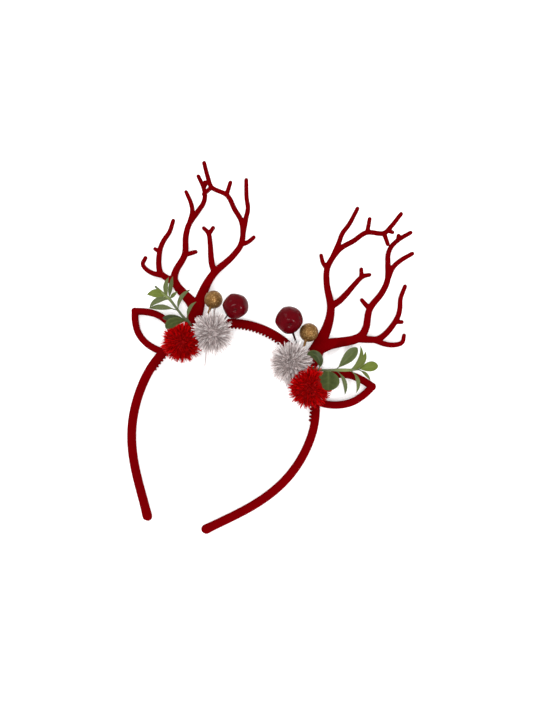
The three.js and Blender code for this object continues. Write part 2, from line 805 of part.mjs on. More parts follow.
// A stem from its foot, by the surface of its pompom's heart, to its ball.
function pickStem(row, place, pompomAt, ballRadius, radius, grow) {
  const start = pompomAt.clone().add(turnedVector(row.foot, POMPOM_HEART + GAP + radius));
  const away = place.clone().sub(start).normalize();
  const end = place.clone().addScaledVector(away, STEM_ROOT - ballRadius);
  const section = roundSection(radius + grow, STEM_SIDES);
  return loft([levelRing(section, start, away), levelRing(section, end, away)]);
}

function goldBall() {
  return new THREE.SphereGeometry(BALL_RADIUS, BALL_SIDES, BALL_RINGS);
}

// A lumpy ball with a dimple that faces the front.
function berry() {
  const ball = new THREE.SphereGeometry(1, BERRY_SIDES, BERRY_RINGS);
  const { position } = ball.attributes;
  const eye = new THREE.Vector3().copy(BERRY_EYE).normalize();
  const point = new THREE.Vector3();
  for (let index = 0; index < position.count; index += 1) {
    point.fromBufferAttribute(position, index);
    const lump = BERRY_WAVES.reduce((sum, wave) => sum + Math.sin(point.dot(wave) + wave.shift), 0);
    const off = point.distanceTo(eye) * BERRY_RADIUS;
    const dimple = BERRY_DIMPLE * Math.exp(-((off / BERRY_DIMPLE_WIDTH) ** 2));
    point.multiplyScalar(BERRY_RADIUS * (1 + BERRY_LUMP * lump) - dimple);
    position.setXYZ(index, point.x, point.y, point.z);
  }
  return ball;
}

const PICK_KINDS = {
  gold: { shape: goldBall, radius: BALL_RADIUS, stem: BALL_STEM_RADIUS },
  berry: { shape: berry, radius: BERRY_RADIUS, stem: BERRY_STEM_RADIUS },
};

function pickPlace(row, middles) {
  const reach = POMPOM_REACH * ofHundred(row.reach);
  const place = middles[row.pompom].clone().add(turnedVector(row.turn, reach));
  place.z += POMPOM_REACH * ofHundred(row.rise);
  return place;
}

function pickSolid(row, place, pompomAt, grow) {
  const kind = PICK_KINDS[row.kind];
  const radius = kind.radius * ofHundred(row.size);
  const size = (radius + grow) / kind.radius;
  const ball = kind.shape().scale(size, size, size).translate(place.x, place.y, place.z);
  return join([toSolid(ball), pickStem(row, place, pompomAt, radius, kind.stem, grow)]);
}

// Pompoms

function pompomMiddle(row) {
  const { point, outward } = bandAt(row.near * ofHundred(row.arc));
  const inward = POMPOM_REACH * ofHundred(row.inward);
  const middle = point.clone().addScaledVector(outward, -inward);
  middle.z = BAND_DEPTH + POMPOM_LIFT;
  return middle;
}

// Directions spread evenly over a ball, along a spiral from its bottom to its top.
function spreadDirections(count) {
  const goldenTurn = Math.PI * (3 - Math.sqrt(5));
  return Array.from({ length: count }, (_, place) => {
    const z = (2 * (place + 0.5)) / count - 1;
    const radius = Math.sqrt(1 - z * z);
    const turn = place * goldenTurn;
    return new THREE.Vector3(radius * Math.cos(turn), radius * Math.sin(turn), z);
  });
}

function tinselLock(middle, direction, grow) {
  const root = POMPOM_HEART * LOCK_ROOT;
  const length = POMPOM_REACH + grow - root;
  const cone = new THREE.ConeGeometry(LOCK_RADIUS + grow, length, LOCK_SIDES);
  cone.translate(0, root + length / 2, 0);
  cone.applyQuaternion(
    new THREE.Quaternion().setFromUnitVectors(new THREE.Vector3(0, 1, 0), direction),
  );
  return toSolid(cone.translate(middle.x, middle.y, middle.z));
}

function pompomHeart(middle, grow) {
  const heart = new THREE.IcosahedronGeometry(POMPOM_HEART + grow, HEART_DETAIL);
  return toSolid(heart.translate(middle.x, middle.y, middle.z));
}

// A dense heart with locks of tinsel. Where a lock would run into a neighbour or the surface that the
// headband lies on, the tinsel is pressed into the heart.
function pompomSolid(middle, cutters, neighbours) {
  const heart = cut(pompomHeart(middle, 0), cutters);
  const crowd = join([...cutters, ...neighbours]);
  const locks = spreadDirections(LOCK_COUNT)
    .filter((direction) => middle.z + direction.z * POMPOM_REACH > GAP)
    .filter((direction) => tinselLock(middle, direction, GAP).intersect(crowd).isEmpty())
    .map((direction) => tinselLock(middle, direction, 0));
  return join([heart, ...locks]);
}

// Assembly

function buildHeadband() {
  const group = new THREE.Group();
  const bandCutter = bandBody(GAP, TOOTH_HEIGHT);
  const cutters = [bandCutter];
  const built = [];
  group.add(makePiece("band", bandSolid(), new THREE.Vector3(), "flock"));
  for (const [side, { sign }] of Object.entries(SIDES)) {
    const ear = cut(earSolid(sign, 0), [bandCutter]);
    const antler = cut(antlerSolid(sign, 0), [bandCutter]);
    cutters.push(earSolid(sign, GAP), antlerSolid(sign, GAP));
    group.add(makePiece(`ear_${side}`, ear, bandAt(sign * EAR_ARC).point, "flock"));
    group.add(makePiece(`antler_${side}`, antler, antlerFoot(sign), "flock"));
  }
  for (const sprig of SPRIGS) {
    const root = sprigRoot(sprig);
    const solid = sprigSolid(sprig, root, 0);
    built.push(solid);
    cutters.push(sprigSolid(sprig, root, GAP));
    group.add(makePiece(sprig.name, solid, root, "leaf"));
  }
  const middles = POMPOMS.map(pompomMiddle);
  for (const row of PICKS) {
    const place = pickPlace(row, middles);
    const solid = pickSolid(row, place, middles[row.pompom], 0);
    built.push(solid);
    cutters.push(pickSolid(row, place, middles[row.pompom], GAP));
    group.add(makePiece(row.name, solid, place, row.kind));
  }
  const hearts = middles.map((middle) => pompomHeart(middle, GAP));
  POMPOMS.forEach((row, index) => {
    const pressed = [...cutters, ...hearts.slice(0, index)];
    const solid = pompomSolid(middles[index], pressed, [...hearts.slice(index + 1), ...built]);
    built.push(solid);
    group.add(makePiece(row.name, solid, middles[index], row.look));
  });
  return group;
}

export default buildHeadband();
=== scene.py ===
"""Looks of the reindeer antler headband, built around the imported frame.

Lengths are millimetres in the part's own frame, unless a heading says metres, and turn into metres when
a mesh is made.
"""

import math
from collections import namedtuple

import bmesh
import bpy
import numpy as np
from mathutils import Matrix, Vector, noise
from mathutils.bvhtree import BVHTree


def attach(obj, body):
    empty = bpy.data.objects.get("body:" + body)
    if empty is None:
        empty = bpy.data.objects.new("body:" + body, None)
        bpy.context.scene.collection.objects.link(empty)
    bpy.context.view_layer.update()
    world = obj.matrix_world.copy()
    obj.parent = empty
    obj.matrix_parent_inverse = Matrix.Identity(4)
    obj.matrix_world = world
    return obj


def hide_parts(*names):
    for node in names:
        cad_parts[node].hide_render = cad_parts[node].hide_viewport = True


MM = 0.001
SEED = 17

# Camera
CAMERA_PLACE = (121.0, -145.4, 452.7)
CAMERA_RIGHT = (0.92693, 0.3559, -0.11889)
CAMERA_DOWN = (0.30201, -0.89564, -0.32651)
CAMERA_LENS = 35.443
SENSOR_WIDTH = 36.0

# Lights and floor, in metres and watts
LIGHT_TARGET = (0.0, -0.02, 0.0)
LIGHTS = {
    "key": {"place": (0.3, -0.5, 1.2), "size": 0.45, "watts": 7.7},
    "gleam": {"place": (0.85, -0.45, 0.88), "size": 0.06, "watts": 5.0},
    "fill": {"place": (-0.8, 0.3, 1.1), "size": 0.9, "watts": 6.5},
}
FLOOR_REACH = 6.0
FLOOR_LEVEL = -0.0004
FLOOR_GLOW = 0.15

# Flock over the plastic
FLOCK_PILE = 0.17
FLOCK_GRAIN = 0.035  # how far the pile stands up and down
FLOCK_GRAIN_SCALE = 1600.0
FINE_VOXEL = 0.34
ANTLER_VOXEL = 0.42
BAND_SOFTENING = 1
LIMB_SOFTENING = 4

# Band, as in the part's source
BAND_HALF_WIDTH = 61.2
BAND_LENGTH = 144.2
CROWN_RISE = 62.0
END_HALF_GAP = 18.2
BAND_WALL = 4.9
BAND_DEPTH = 6.0
BAND_SHOULDER = 4.2
BAND_CHAMFER = 0.6
BAND_STEP = 2.0
LEG_PULL_TOP = 0.5
LEG_PULL_END = 0.35
END_SWELL = 1.12
END_SWELL_REACH = 9.0
ARCH_STEPS = 10
HALF_STEPS = 200
TANGENT_REACH = 0.2
END_ROUNDING = (15, 30, 45, 58, 70, 80)  # degrees
BAND_SINK = 0.4  # how deep an ear's or antler's skin may lie in the band's side
SIDES = {
    "left": {"sign": -1, "half_width": 98.4, "length": 102.1, "half_gap": 102, "slant": 37},
    "right": {"sign": 1, "half_width": 101.6, "length": 97.9, "half_gap": 96, "slant": 43},
}

# Teeth inside the crown
TOOTH_PITCH = 2.7
TOOTH_WIDTH = 2.3
TOOTH_HEIGHT = 1.75
TOOTH_DEPTH = 3.2
TOOTH_ROOT = 0.6
TOOTH_SIDES = 8
TOOTH_TAPER = ((0.0, 1.0), (0.5, 0.72), (0.85, 0.46), (1.0, 0.25))
TEETH_REACH = 88.0

# Ears
EAR_ARC = 65.0
EAR_LENGTH = 38.6
EAR_HALF_WIDTH = 10.6
EAR_LIMB = 4.35
EAR_DEPTH = 4.4
EAR_TILT = 24.0
EAR_FOOT = 1.5
EAR_STEPS = 30
EAR_TIP = ((0.72, -1.0), (0.94, -0.8), (1.0, 0.0), (0.94, 0.8), (0.72, 1.0))
EAR_TIP_SIDES = 24

# An ear's outline: rows of along and half, in hundredths of its length and half width.
EAR_OUTLINE = [(0, 62), (18, 88), (40, 100), (63, 88), (83, 50), (100, 0)]

# Antlers
ANTLER_ARC = 43.5
ANTLER_HEIGHT = 112.0
ANTLER_REACH = 57.5
TRUNK_WIDTH = 9.4
TRUNK_DEPTH = 4.0
TIP_DEPTH = 2.4
LIMB_STEP = 1.6
LIMB_LEAST_STEPS = 4
LIMB_ROUNDING = (20, 40, 58, 72, 83)  # degrees
LIMB_END_DEPTH = 0.35
INNER_BOW = {"reach": 26.0, "power": 3.2, "twist": 22.0}
OUTER_BOW = {"reach": 17.5, "power": 2.3, "twist": 0.0}

# Limbs of an antler: rows of out, up and width, in hundredths of its reach, height and trunk's width.
INNER_LIMBS = {
    "inner beam": [
        (2.5, 0, 172), (8, 6, 122), (10, 14, 96), (11, 20, 80), (11.5, 27, 68), (10, 34.5, 58),
        (6.5, 40.5, 53), (-7, 53, 44), (-12.5, 63, 41), (-5, 75, 37), (8.5, 81, 35), (21, 86.5, 33),
        (42, 87.5, 31), (48, 91, 30), (55.5, 97, 27),
    ],
    "centre tine": [
        (7.5, 40, 46), (14.5, 44.5, 44), (20, 50, 41), (25, 56, 36), (32, 62.5, 32), (39.5, 64.5, 26),
    ],
    "centre tine's upper point": [(31, 62, 30), (28, 66.5, 26)],
    "inner side tine": [(-12.5, 62, 33), (-20, 65, 29), (-25, 69, 26)],
    "inner upright tine": [
        (-10.5, 69.5, 36), (-8.5, 78, 34), (-7.5, 84, 32), (-2.5, 89.5, 30), (2.5, 98, 27),
    ],
    "top tine": [(22, 87, 30), (20.5, 93.5, 26)],
    "inner low point": [(42, 87.5, 30), (50, 82.5, 26)],
    "inner short point": [(45.5, 89, 28), (51.5, 88.5, 25)],
}
OUTER_LIMBS = {
    "outer beam": [
        (9, 10.5, 90), (20, 16, 82), (32, 19.5, 68), (46, 23.5, 62), (53.5, 27.5, 56), (55.5, 33, 50),
        (52.5, 45, 45), (60, 57, 42), (61.5, 65, 40), (56, 74.5, 37), (52.5, 80.5, 34),
        (53.5, 85.5, 32), (59.5, 90.5, 30), (70, 96, 27),
    ],
    "outer beam's short point": [(53, 45, 34), (46, 47, 30), (40, 49, 26)],
    "outer top point": [(58.5, 89.5, 29), (57.5, 92.5, 26)],
    "outer upper tine": [(61.5, 65, 36), (63, 73.5, 33), (68.5, 78.5, 31), (79.5, 84.5, 27)],
    "low beam": [
        (49, 25, 55), (62, 26.5, 47), (73, 28.5, 43), (80.5, 34, 40), (86.5, 44.5, 36), (86, 50.5, 34),
        (83, 56.5, 31), (83.5, 64.5, 27),
    ],
    "low beam's short point": [(85.5, 42, 29), (93, 43, 26)],
    "hook": [(68, 27.5, 38), (84.5, 27, 33), (95, 28.5, 31), (101, 31, 29), (100.5, 35.5, 26)],
}

# Pompoms: middles, and how far their strips run past halfway to a neighbour.
POMPOM_HEART = 10.8
POMPOM_REACH = {"silver": 16.4, "red": 15.7}
POMPOMS = {
    "silver_pompom_left": {"middle": (-24.77, -16.82, 12.5), "look": "silver", "seed": 3, "past": 2.6},
    "silver_pompom_right": {"middle": (33.91, -19.82, 12.5), "look": "silver", "seed": 5, "past": 2.6},
    "red_pompom_left": {"middle": (-42.44, -29.67, 12.5), "look": "red", "seed": 7, "past": 0.4},
    "red_pompom_right": {"middle": (51.46, -31.96, 12.5), "look": "red", "seed": 11, "past": 0.4},
}
STRIP_COUNT = 5000
CLUMP_COUNT = 420
CLUMP_PULL = 0.45
STRIP_ROOT = 4.5  # how far from the pompom's middle a strip starts
STRIP_LEAST = 1.5  # length of the shortest strips from root to tip
STRIP_SHORTEST = 6.2  # a strip with a nearer tip is dropped
STRIP_GAP = 0.4  # left between a strip's tip and what it would run into
STRIP_CURL = 0.9
STRIP_TWIST = 1.2
STRIP_TAPER = ((0.0, 1.0), (0.45, 1.0), (0.75, 0.95), (1.0, 0.5))
STRIP_SECTION = ((-0.5, -0.05), (0.5, -0.05), (0.0, 0.09))
STRIP_LEVEL = 0.25  # least height of a strip over the floor
NARROW = {"start": 0.2, "spread": 2.3, "power": 1.5, "widths": (0.14, 0.3), "tones": (0.0, 0.75)}
WIDE = {"start": 1.4, "power": 0.9, "widths": (0.45, 0.85), "tones": (0.4, 1.0)}
WIDE_SHARE = 0.18  # of the strips are wide ones, which reach further out
RIM_SHADE = {"silver": 0.0, "red": 0.45}  # painted shade: how much darker the strips get towards the sides
FLOOR_ROOM = 0.5  # left between a tip and the floor
SIDEWAYS = 0.05  # the least share of a direction that counts as towards something
COVER_REACH = 14.0  # how far below a strip's tip a leaf is looked for
COVER_STEP = 0.7
COVER_LEAST = 1.0  # a tip nearer than this isn't pressed any further
HEART_FINENESS = 4
HEART_PAINTED_SHADE_TONE = -1.0  # below the strips' own tones, so the heart takes the darkest, as painted shade deep in the tinsel
HEART_SINK = 1.1
HEART_LEAST = 2.0
HEART_LUMPS = 0.9
TINSELS = {
    "silver": {
        "dark": (0.24, 0.2, 0.195), "middle": (0.68, 0.58, 0.565), "bright": (1.0, 0.97, 0.96),
        "metal": 0.35, "roughness": 0.34,
    },
    "red": {
        "dark": (0.2, 0.0, 0.0004), "middle": (0.5, 0.0, 0.0004), "bright": (0.74, 0.001, 0.003),
        "metal": 0.3, "roughness": 0.5,
    },
}

# Loose strands: a hair of clear glue below the left silver pompom, and a wire's end above it.
STRAND_STEPS = 24
STRAND_SIDES = 8
STRANDS = {
    "silver_pompom_left": [
        {"radius": 0.3, "tone": 0.3, "points": [
            (-28.0, -23.13, 8.0), (-26.07, -28.28, 7.0), (-24.84, -32.11, 6.0), (-23.19, -38.68, 4.5),
        ]},
        {"radius": 0.7, "tone": 0.1, "points": [
            (-30.3, 0.9, 12.0), (-30.0, -1.2, 12.0), (-29.3, -3.6, 12.0), (-28.6, -6.8, 12.0),
        ]},
    ],
}

# Balls on stems: middles, radii, and degrees at which the stem leaves its pompom.
BALL_FINENESS = 5
BALL_RADIUS = 6.4
BALL_STEM = 0.9
BALL_STEM_TONE = 0.4
BERRY_RADIUS = 8.8
BERRY_STEM = 0.65
BERRY_STEM_TONE = 2.0
STEM_SINK = 3.0  # how far a stem runs into its pompom
STEM_STEPS = 16
STEM_SIDES = 12
STEM_BEND = 0.35
STEM_FLARE = 0.5
STEM_FLARE_AT = 0.82
GLITTER_SINK = 0.06
GLITTER_WAVE = 0.05
GLITTER_GRAIN = 0.13
PICKS = {
    "gold_ball_left": {"middle": (-33.74, 6.56, 12.05), "pompom": "silver_pompom_left", "foot": 137},
    "gold_ball_right": {"middle": (37.40, 4.98, 10.55), "pompom": "silver_pompom_right", "foot": 72},
    "berry_left": {"middle": (-16.11, 5.72, 15.35), "pompom": "silver_pompom_left", "foot": 75},
    "berry_right": {"middle": (23.07, 7.02, 17.15), "pompom": "silver_pompom_right", "foot": 90},
}
BERRY_SIZES = {"berry_left": 1.0, "berry_right": 1.05}
BERRY_EYE = (0.5, -0.8, 1.0)
BERRY_DIMPLE = 1.5
BERRY_DIMPLE_WIDTH = 2.4
BERRY_EYE_RADIUS = 1.1
BERRY_FLATS = 15
BERRY_FLAT_DEPTH = 0.968
BERRY_FLAT_JITTER = 0.28
BERRY_FULLNESS = 1.045
BERRY_EDGE = 10  # how sharply the flats meet the round
BERRY_WAVES = ((2.6, 0.16), (8, 0.05))

# Leaf sprigs
SPRIG_LENGTH = 38.0
SPRIG_RISE = 4.0
STALK_WIDTH = 1.9
TWIG_END = 0.75
STEM_NODE = 0.45  # how much thicker the stem is where most leaves leave it
STEM_NODE_AT = 0.72
STEM_NODE_REACH = 0.18
STEM_BLOOM = 1.6
STEM_TONE = 2.0  # past the leaves' own tones, so the stem takes the last of the greens
SPRIG_STEPS = 36
SPRIG_SIDES = 10
LEAF_LENGTH = 18.0
LEAF_WIDTH = 12.0
LEAF_THICK = 0.62
LEAF_STATIONS = 26
LEAF_COLUMNS = 14
LEAF_EASE = 0.9
LEAF_CUP = 0.1
LEAF_THINNING = 0.45
LEAF_EDGE_THINNING = 0.72
LEAF_GROOVE = 0.16
LEAF_GROOVE_WIDTH = 0.16
LEAF_NECK = 0.36  # of the stalk's width, for a leaf's own narrow foot
LEAF_POINT = 0.12  # of it, for a leaf's point
LEAF_LUMPS = 0.12
LEAF_LUMP_SCALE = 900
LEAF_VEINS = 7
EDGE_BLOOM = 0.55
# Painted sheen: how pale the midrib is.
PAINTED_RIB_SHEEN = 0.5
RIB_WIDTH = 0.12
VEIN_BLOOM = 0.16

# Where a leaf leaves its stem is in hundredths of the stem, and its length and width are in hundredths
# of the named ones. Its turns and rises are degrees, and its tone goes from the dark green to the light.
Leaf = namedtuple("Leaf", "form at turn curl roll length width rise sag tone")
SPRIGS = {
    "leaf_sprig_left": {
        "sign": -1,
        "root": (-43.27, -14.85, 6.20),
        "stem": [
            (0, 0, 0), (7, 5, 45), (16, 8, 85), (34, 19, 100), (56, 33, 105), (66, 37, 110), (92, 48, 120),
        ],
        "leaves": [
            Leaf("lance", 70, 13, -52, 10, 83, 52, 6, -4, 0.72),
            Leaf("lance", 62, 0, -82, 10, 94, 35, 2, -6, 0.5),
            Leaf("lance", 67, 40, 70, -20, 84, 29, 28, -8, 0.55),
            Leaf("lance", 65, 83, 2, 15, 88, 31, 22, 4, 0.45),
            Leaf("lance", 64, 126, 0, 0, 44, 24, 20, 0, 0.55),
            Leaf("lance", 36, 63, 80, -15, 103, 24, 16, -8, 0.5),
            Leaf("slim", 36, 2, -28, 0, 125, 35, -2, -4, 0.5),
            Leaf("slim", 9, 55, 84, 0, 90, 22, 28, -14, 0.5),
            Leaf("oval", 9, -6, -12, 0, 102, 46, 10, -8, 0.0),
            Leaf("spoon", 8, -8, -78, 10, 102, 58, 34, -24, 0.35),
        ],
    },
    "leaf_sprig_right": {
        "sign": 1,
        "root": (46.13, -16.86, 6.20),
        "stem": [(0, 0, 0), (12, -2, 55), (24, -1, 105), (45, 6, 120), (66, 13, 125), (82, 20, 125)],
        "leaves": [
            Leaf("oval", 20, 62, 174, 0, 101, 50, 42, -16, 0.05),
            Leaf("round", 41, -68, -4, -10, 90, 120, 32, -30, 0.2),
            Leaf("spoon", 55, 57, 12, 4, 114, 62, 16, -4, 0.4),
            Leaf("lance", 82, 38, 92, 20, 108, 27, 6, 8, 0.6),
            Leaf("lance", 85, 30, 80, -15, 94, 34, 6, 2, 0.65),
            Leaf("spoon", 96, 27, -2, -10, 80, 62, 10, -4, 0.75),
            Leaf("slim", 55, -12, -76, 0, 104, 24, -12, -8, 0.5),
            Leaf("slim", 83, -8, -94, 0, 96, 22, -14, -6, 0.55),
            Leaf("slim", 98, 6, -50, 0, 65, 18, -18, -4, 0.6),
        ],
    },
}
# A leaf's form: the stalk's share of its length, and the powers that blunt its ends and set its belly.
LEAF_FORMS = {
    "slim": (0.22, 0.9, 0.9),
    "lance": (0.09, 0.85, 0.9),
    "oval": (0.14, 0.6, 1.15),
    "spoon": (0.14, 0.55, 1.5),
    "round": (0.06, 0.45, 1.3),
}

UP = Vector((0, 0, 1))


# Meshes

class Shape:
    """Vertices in millimetres, faces, and the tones and paleness that a material reads at the vertices, with
    painted sheen in the leaves' paleness.
    """

    def __init__(self):
        self.points = []
        self.faces = []
        self.tones = []
        self.paleness_and_sheen = {}

    def add_ring(self, ring, tone=0.0):
        first = len(self.points)
        self.points.extend(ring)
        self.tones.extend([tone] * len(ring))
        return list(range(first, first + len(ring)))

    def add_loft(self, rings, tone=0.0):
        rows = [self.add_ring(ring, tone) for ring in rings]
        size = len(rows[0])
        for low, high in zip(rows, rows[1:]):
            for corner in range(size):
                after = (corner + 1) % size
                self.faces.append((low[corner], low[after], high[after], high[corner]))
        self.faces.append(tuple(reversed(rows[0])))
        self.faces.append(tuple(rows[-1]))


def from_shape(name, shape, smooth=True):
    mesh = bpy.data.meshes.new(name)
    mesh.from_pydata([tuple(MM * value for value in point) for point in shape.points], [], shape.faces)
    tone = mesh.attributes.new("tone", "FLOAT", "POINT")
    tone.data.foreach_set("value", shape.tones)
    if shape.paleness_and_sheen:
        pale_and_sheen = mesh.attributes.new("pale_and_sheen", "FLOAT", "POINT")
        pale_and_sheen.data.foreach_set("value", [shape.paleness_and_sheen.get(index, 0.0) for index in range(len(shape.points))])
    mesh.polygons.foreach_set("use_smooth", [smooth] * len(mesh.polygons))
    mesh.update()
    piece = bpy.data.objects.new(name, mesh)
    bpy.context.scene.collection.objects.link(piece)
    return piece


def finish_piece(piece, node, material):
    piece.data.materials.clear()
    piece.data.materials.append(material)
    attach(piece, "root")
    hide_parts(node)


def fuse(piece, voxel, softening):
    """Makes one closed skin of overlapping bodies, softens it and roughens it like flock."""
    remesh = piece.modifiers.new("fuse", "REMESH")
    remesh.mode = "VOXEL"
    remesh.voxel_size = voxel * MM
    remesh.use_smooth_shade = True
    soften = piece.modifiers.new("soften", "SMOOTH")
    soften.factor = 0.5
    soften.iterations = softening
    graph = bpy.context.evaluated_depsgraph_get()
    skin = bpy.data.meshes.new_from_object(piece.evaluated_get(graph))
    piece.modifiers.clear()
    piece.data = skin
    flock_grain(skin)


def read_vertices(mesh, column):
    values = np.empty(len(mesh.vertices) * 3, dtype=np.float32)
    mesh.vertices.foreach_get(column, values)
    return values.reshape(-1, 3)


def flock_grain(mesh):
    places = read_vertices(mesh, "co")
    normals = read_vertices(mesh, "normal")
    grains = [noise.noise(Vector(place) * FLOCK_GRAIN_SCALE) for place in places]
    pile = FLOCK_PILE + FLOCK_GRAIN * np.asarray(grains, dtype=np.float32)
    places += normals * (pile * MM)[:, None]
    places[:, 2] = np.maximum(places[:, 2], 0.0)
    mesh.vertices.foreach_set("co", places.ravel())
    mesh.polygons.foreach_set("use_smooth", [True] * len(mesh.polygons))
    mesh.update()


# Curves

def curve_point(points, place):
    """A point on a smooth curve through the points. The place counts the points passed."""
    low = min(int(place), len(points) - 2)
    share = place - low
    here, there = points[low], points[low + 1]
    before = points[low - 1] if low > 0 else 2 * here - there
    after = points[low + 2] if low + 2 < len(points) else 2 * there - here
    first = max((here - before).length, 1e-6) ** 0.5
    span = max((there - here).length, 1e-6) ** 0.5
    last = max((after - there).length, 1e-6) ** 0.5
    leave = span * ((here - before) / first - (there - before) / (first + span) + (there - here) / span)
    arrive = span * ((there - here) / span - (after - here) / (span + last) + (after - there) / last)
    square, cube = share ** 2, share ** 3
    return (
        (2 * cube - 3 * square + 1) * here
        + (cube - 2 * square + share) * leave
        + (3 * square - 2 * cube) * there
        + (cube - square) * arrive
    )


class Path:
    """A smooth curve that is read by its length."""

    def __init__(self, points, fineness=16):
        self.points = points
        count = (len(points) - 1) * fineness
        self.places = [index / fineness for index in range(count + 1)]
        samples = [curve_point(points, place) for place in self.places]
        self.lengths = [0.0]
        for here, there in zip(samples, samples[1:]):
            self.lengths.append(self.lengths[-1] + (there - here).length)
        self.length = self.lengths[-1]

    def place_at(self, share):
        return float(np.interp(share * self.length, self.lengths, self.places))

    def at(self, share):
        return curve_point(self.points, self.place_at(share))

    def tangent(self, share, reach=0.004):
        low, high = max(share - reach, 0.0), min(share + reach, 1.0)
        return (self.at(high) - self.at(low)).normalized()


def place_ring(section, point, side, face):
    return [point + across * side + out * face for across, out in section]


def level_ring(section, point, tangent, roll=0.0):
    side = UP.cross(tangent).normalized()
    face = tangent.cross(side)
    angle = math.radians(roll)
    turned = math.cos(angle) * side + math.sin(angle) * face
    return place_ring(section, point, turned, tangent.cross(turned))


def plate_section(width, depth, softness=0.55, corners=20):
    section = []
    for corner in range(corners):
        angle = (corner + 0.5) * 2 * math.pi / corners
        across, out = math.cos(angle), math.sin(angle)
        section.append((
            math.copysign(abs(across) ** softness, across) * width / 2,
            math.copysign(abs(out) ** softness, out) * depth / 2,
        ))
    return section


def round_section(radius, sides):
    turns = [2 * math.pi * corner / sides for corner in range(sides)]
    return [(radius * math.cos(turn), radius * math.sin(turn)) for turn in turns]


# Band

def band_half(side):
    """Points along one side's centreline, from the crown to the end, and the length up to each."""
    half_width = BAND_HALF_WIDTH * side["half_width"] / 100
    length = BAND_LENGTH * side["length"] / 100
    slant = math.radians(side["slant"])
    height = length - CROWN_RISE
    points = []
    for step in range(HALF_STEPS + 1):
        angle = math.pi / 2 * step / HALF_STEPS
        points.append(Vector((half_width * math.sin(angle), CROWN_RISE * (math.cos(angle) - 1), 0)))
    outward = Vector((math.sin(slant), math.cos(slant), 0))
    end = Vector((END_HALF_GAP * side["half_gap"] / 100, -length, 0))
    widest = points[-1]
    pulls = [
        widest,
        widest - Vector((0, LEG_PULL_TOP * height, 0)),
        end + LEG_PULL_END * height * outward,
        end,
    ]
    for step in range(1, HALF_STEPS + 1):
        share = step / HALF_STEPS
        rest = 1 - share
        points.append(
            rest ** 3 * pulls[0]
            + 3 * rest ** 2 * share * pulls[1]
            + 3 * rest * share ** 2 * pulls[2]
            + share ** 3 * pulls[3]
        )
    lengths = [0.0]
    for here, there in zip(points, points[1:]):
        lengths.append(lengths[-1] + (there - here).length)
    return points, lengths


BAND_HALVES = {name: band_half(side) for name, side in SIDES.items()}


def band_point(name, arc):
    points, lengths = BAND_HALVES[name]
    return Vector([float(np.interp(arc, lengths, [point[axis] for point in points])) for axis in range(3)])


def band_at(arc):
    """Point and outward side at an arc from the crown, negative on the left."""
    name = "left" if arc < 0 else "right"
    sign = SIDES[name]["sign"]
    total = BAND_HALVES[name][1][-1]
    low = max(abs(arc) - TANGENT_REACH, 0.0)
    high = min(abs(arc) + TANGENT_REACH, total)
    tangent = (band_point(name, high) - band_point(name, low)).normalized()
    tangent.y *= sign
    point = band_point(name, min(abs(arc), total))
    point.x *= sign
    return point, UP.cross(tangent)


def band_section(swell, round_off):
    half = BAND_WALL / 2 * swell * round_off
    crest = (BAND_DEPTH - BAND_SHOULDER) * round_off
    chamfer = BAND_CHAMFER * round_off
    arch = []
    for step in range(ARCH_STEPS + 1):
        angle = math.pi * step / ARCH_STEPS
        arch.append((half * math.cos(angle), BAND_SHOULDER + crest * math.sin(angle)))
    return [(half - chamfer, 0), (half, BAND_CHAMFER), *arch, (-half, BAND_CHAMFER), (chamfer - half, 0)]


def band_rings(name):
    sign = SIDES[name]["sign"]
    total = BAND_HALVES[name][1][-1]
    half_wall = BAND_WALL * END_SWELL / 2
    last = total - half_wall
    steps = math.ceil(last / BAND_STEP)
    stations = [(last * step / steps, 1.0) for step in range(steps + 1)]
    for angle in map(math.radians, END_ROUNDING):
        stations.append((last + half_wall * math.sin(angle), math.cos(angle)))
    rings = []
    for arc, round_off in stations:
        point, outward = band_at(sign * arc)
        nearness = max(0.0, 1 - (total - arc) / END_SWELL_REACH)
        swell = 1 + (END_SWELL - 1) * nearness
        rings.append(place_ring(band_section(swell, round_off), point, outward, UP))
    return rings


def band_tooth(shape, arc):
    point, outward = band_at(arc)
    inward = -outward
    side = inward.cross(UP)
    seat = point + inward * (BAND_WALL / 2 - TOOTH_ROOT)
    seat.z = (BAND_SHOULDER + BAND_CHAMFER) / 2
    height = TOOTH_HEIGHT + TOOTH_ROOT
    rings = []
    for share, scale in TOOTH_TAPER:
        middle = seat + inward * height * share
        ring = []
        for across, out in round_section(scale, TOOTH_SIDES):
            ring.append(middle + side * across * TOOTH_WIDTH / 2 + UP * out * TOOTH_DEPTH / 2)
        rings.append(ring)
    shape.add_loft(rings)


def make_band(material):
    shape = Shape()
    left = list(reversed(band_rings("left")[1:]))
    shape.add_loft(left + band_rings("right"))
    for tooth in range(int(TEETH_REACH / TOOTH_PITCH)):
        arc = (tooth + 0.5) * TOOTH_PITCH
        band_tooth(shape, arc)
        band_tooth(shape, -arc)
    piece = from_shape("band_flock", shape)
    fuse(piece, FINE_VOXEL, BAND_SOFTENING)
    finish_piece(piece, "band", material)


# Ears

def ear_limb_rings(root, axis, side):
    rows = [
        root + axis * EAR_LENGTH * along / 100 + side * EAR_HALF_WIDTH * half / 100
        for along, half in EAR_OUTLINE
    ]
    path = Path(rows)
    points = [path.at(step / EAR_STEPS) for step in range(EAR_STEPS + 1)]
    points.insert(0, points[0] - axis * EAR_FOOT)
    section = plate_section(EAR_LIMB, EAR_DEPTH)
    rings = []
    for index, point in enumerate(points):
        tangent = (points[min(index + 1, EAR_STEPS)] - points[max(index - 1, 0)]).normalized()
        rings.append(place_ring(section, point, UP.cross(tangent), UP))
    return rings


def ear_tip_rings(tip):
    """A round stud, which closes the point where an ear's two limbs meet."""
    rings = []
    for across_share, height_share in EAR_TIP:
        section = round_section(EAR_LIMB / 2 * across_share, EAR_TIP_SIDES)
        middle = tip + UP * EAR_DEPTH / 2 * height_share
        rings.append(place_ring(section, middle, Vector((1, 0, 0)), Vector((0, 1, 0))))
    return rings


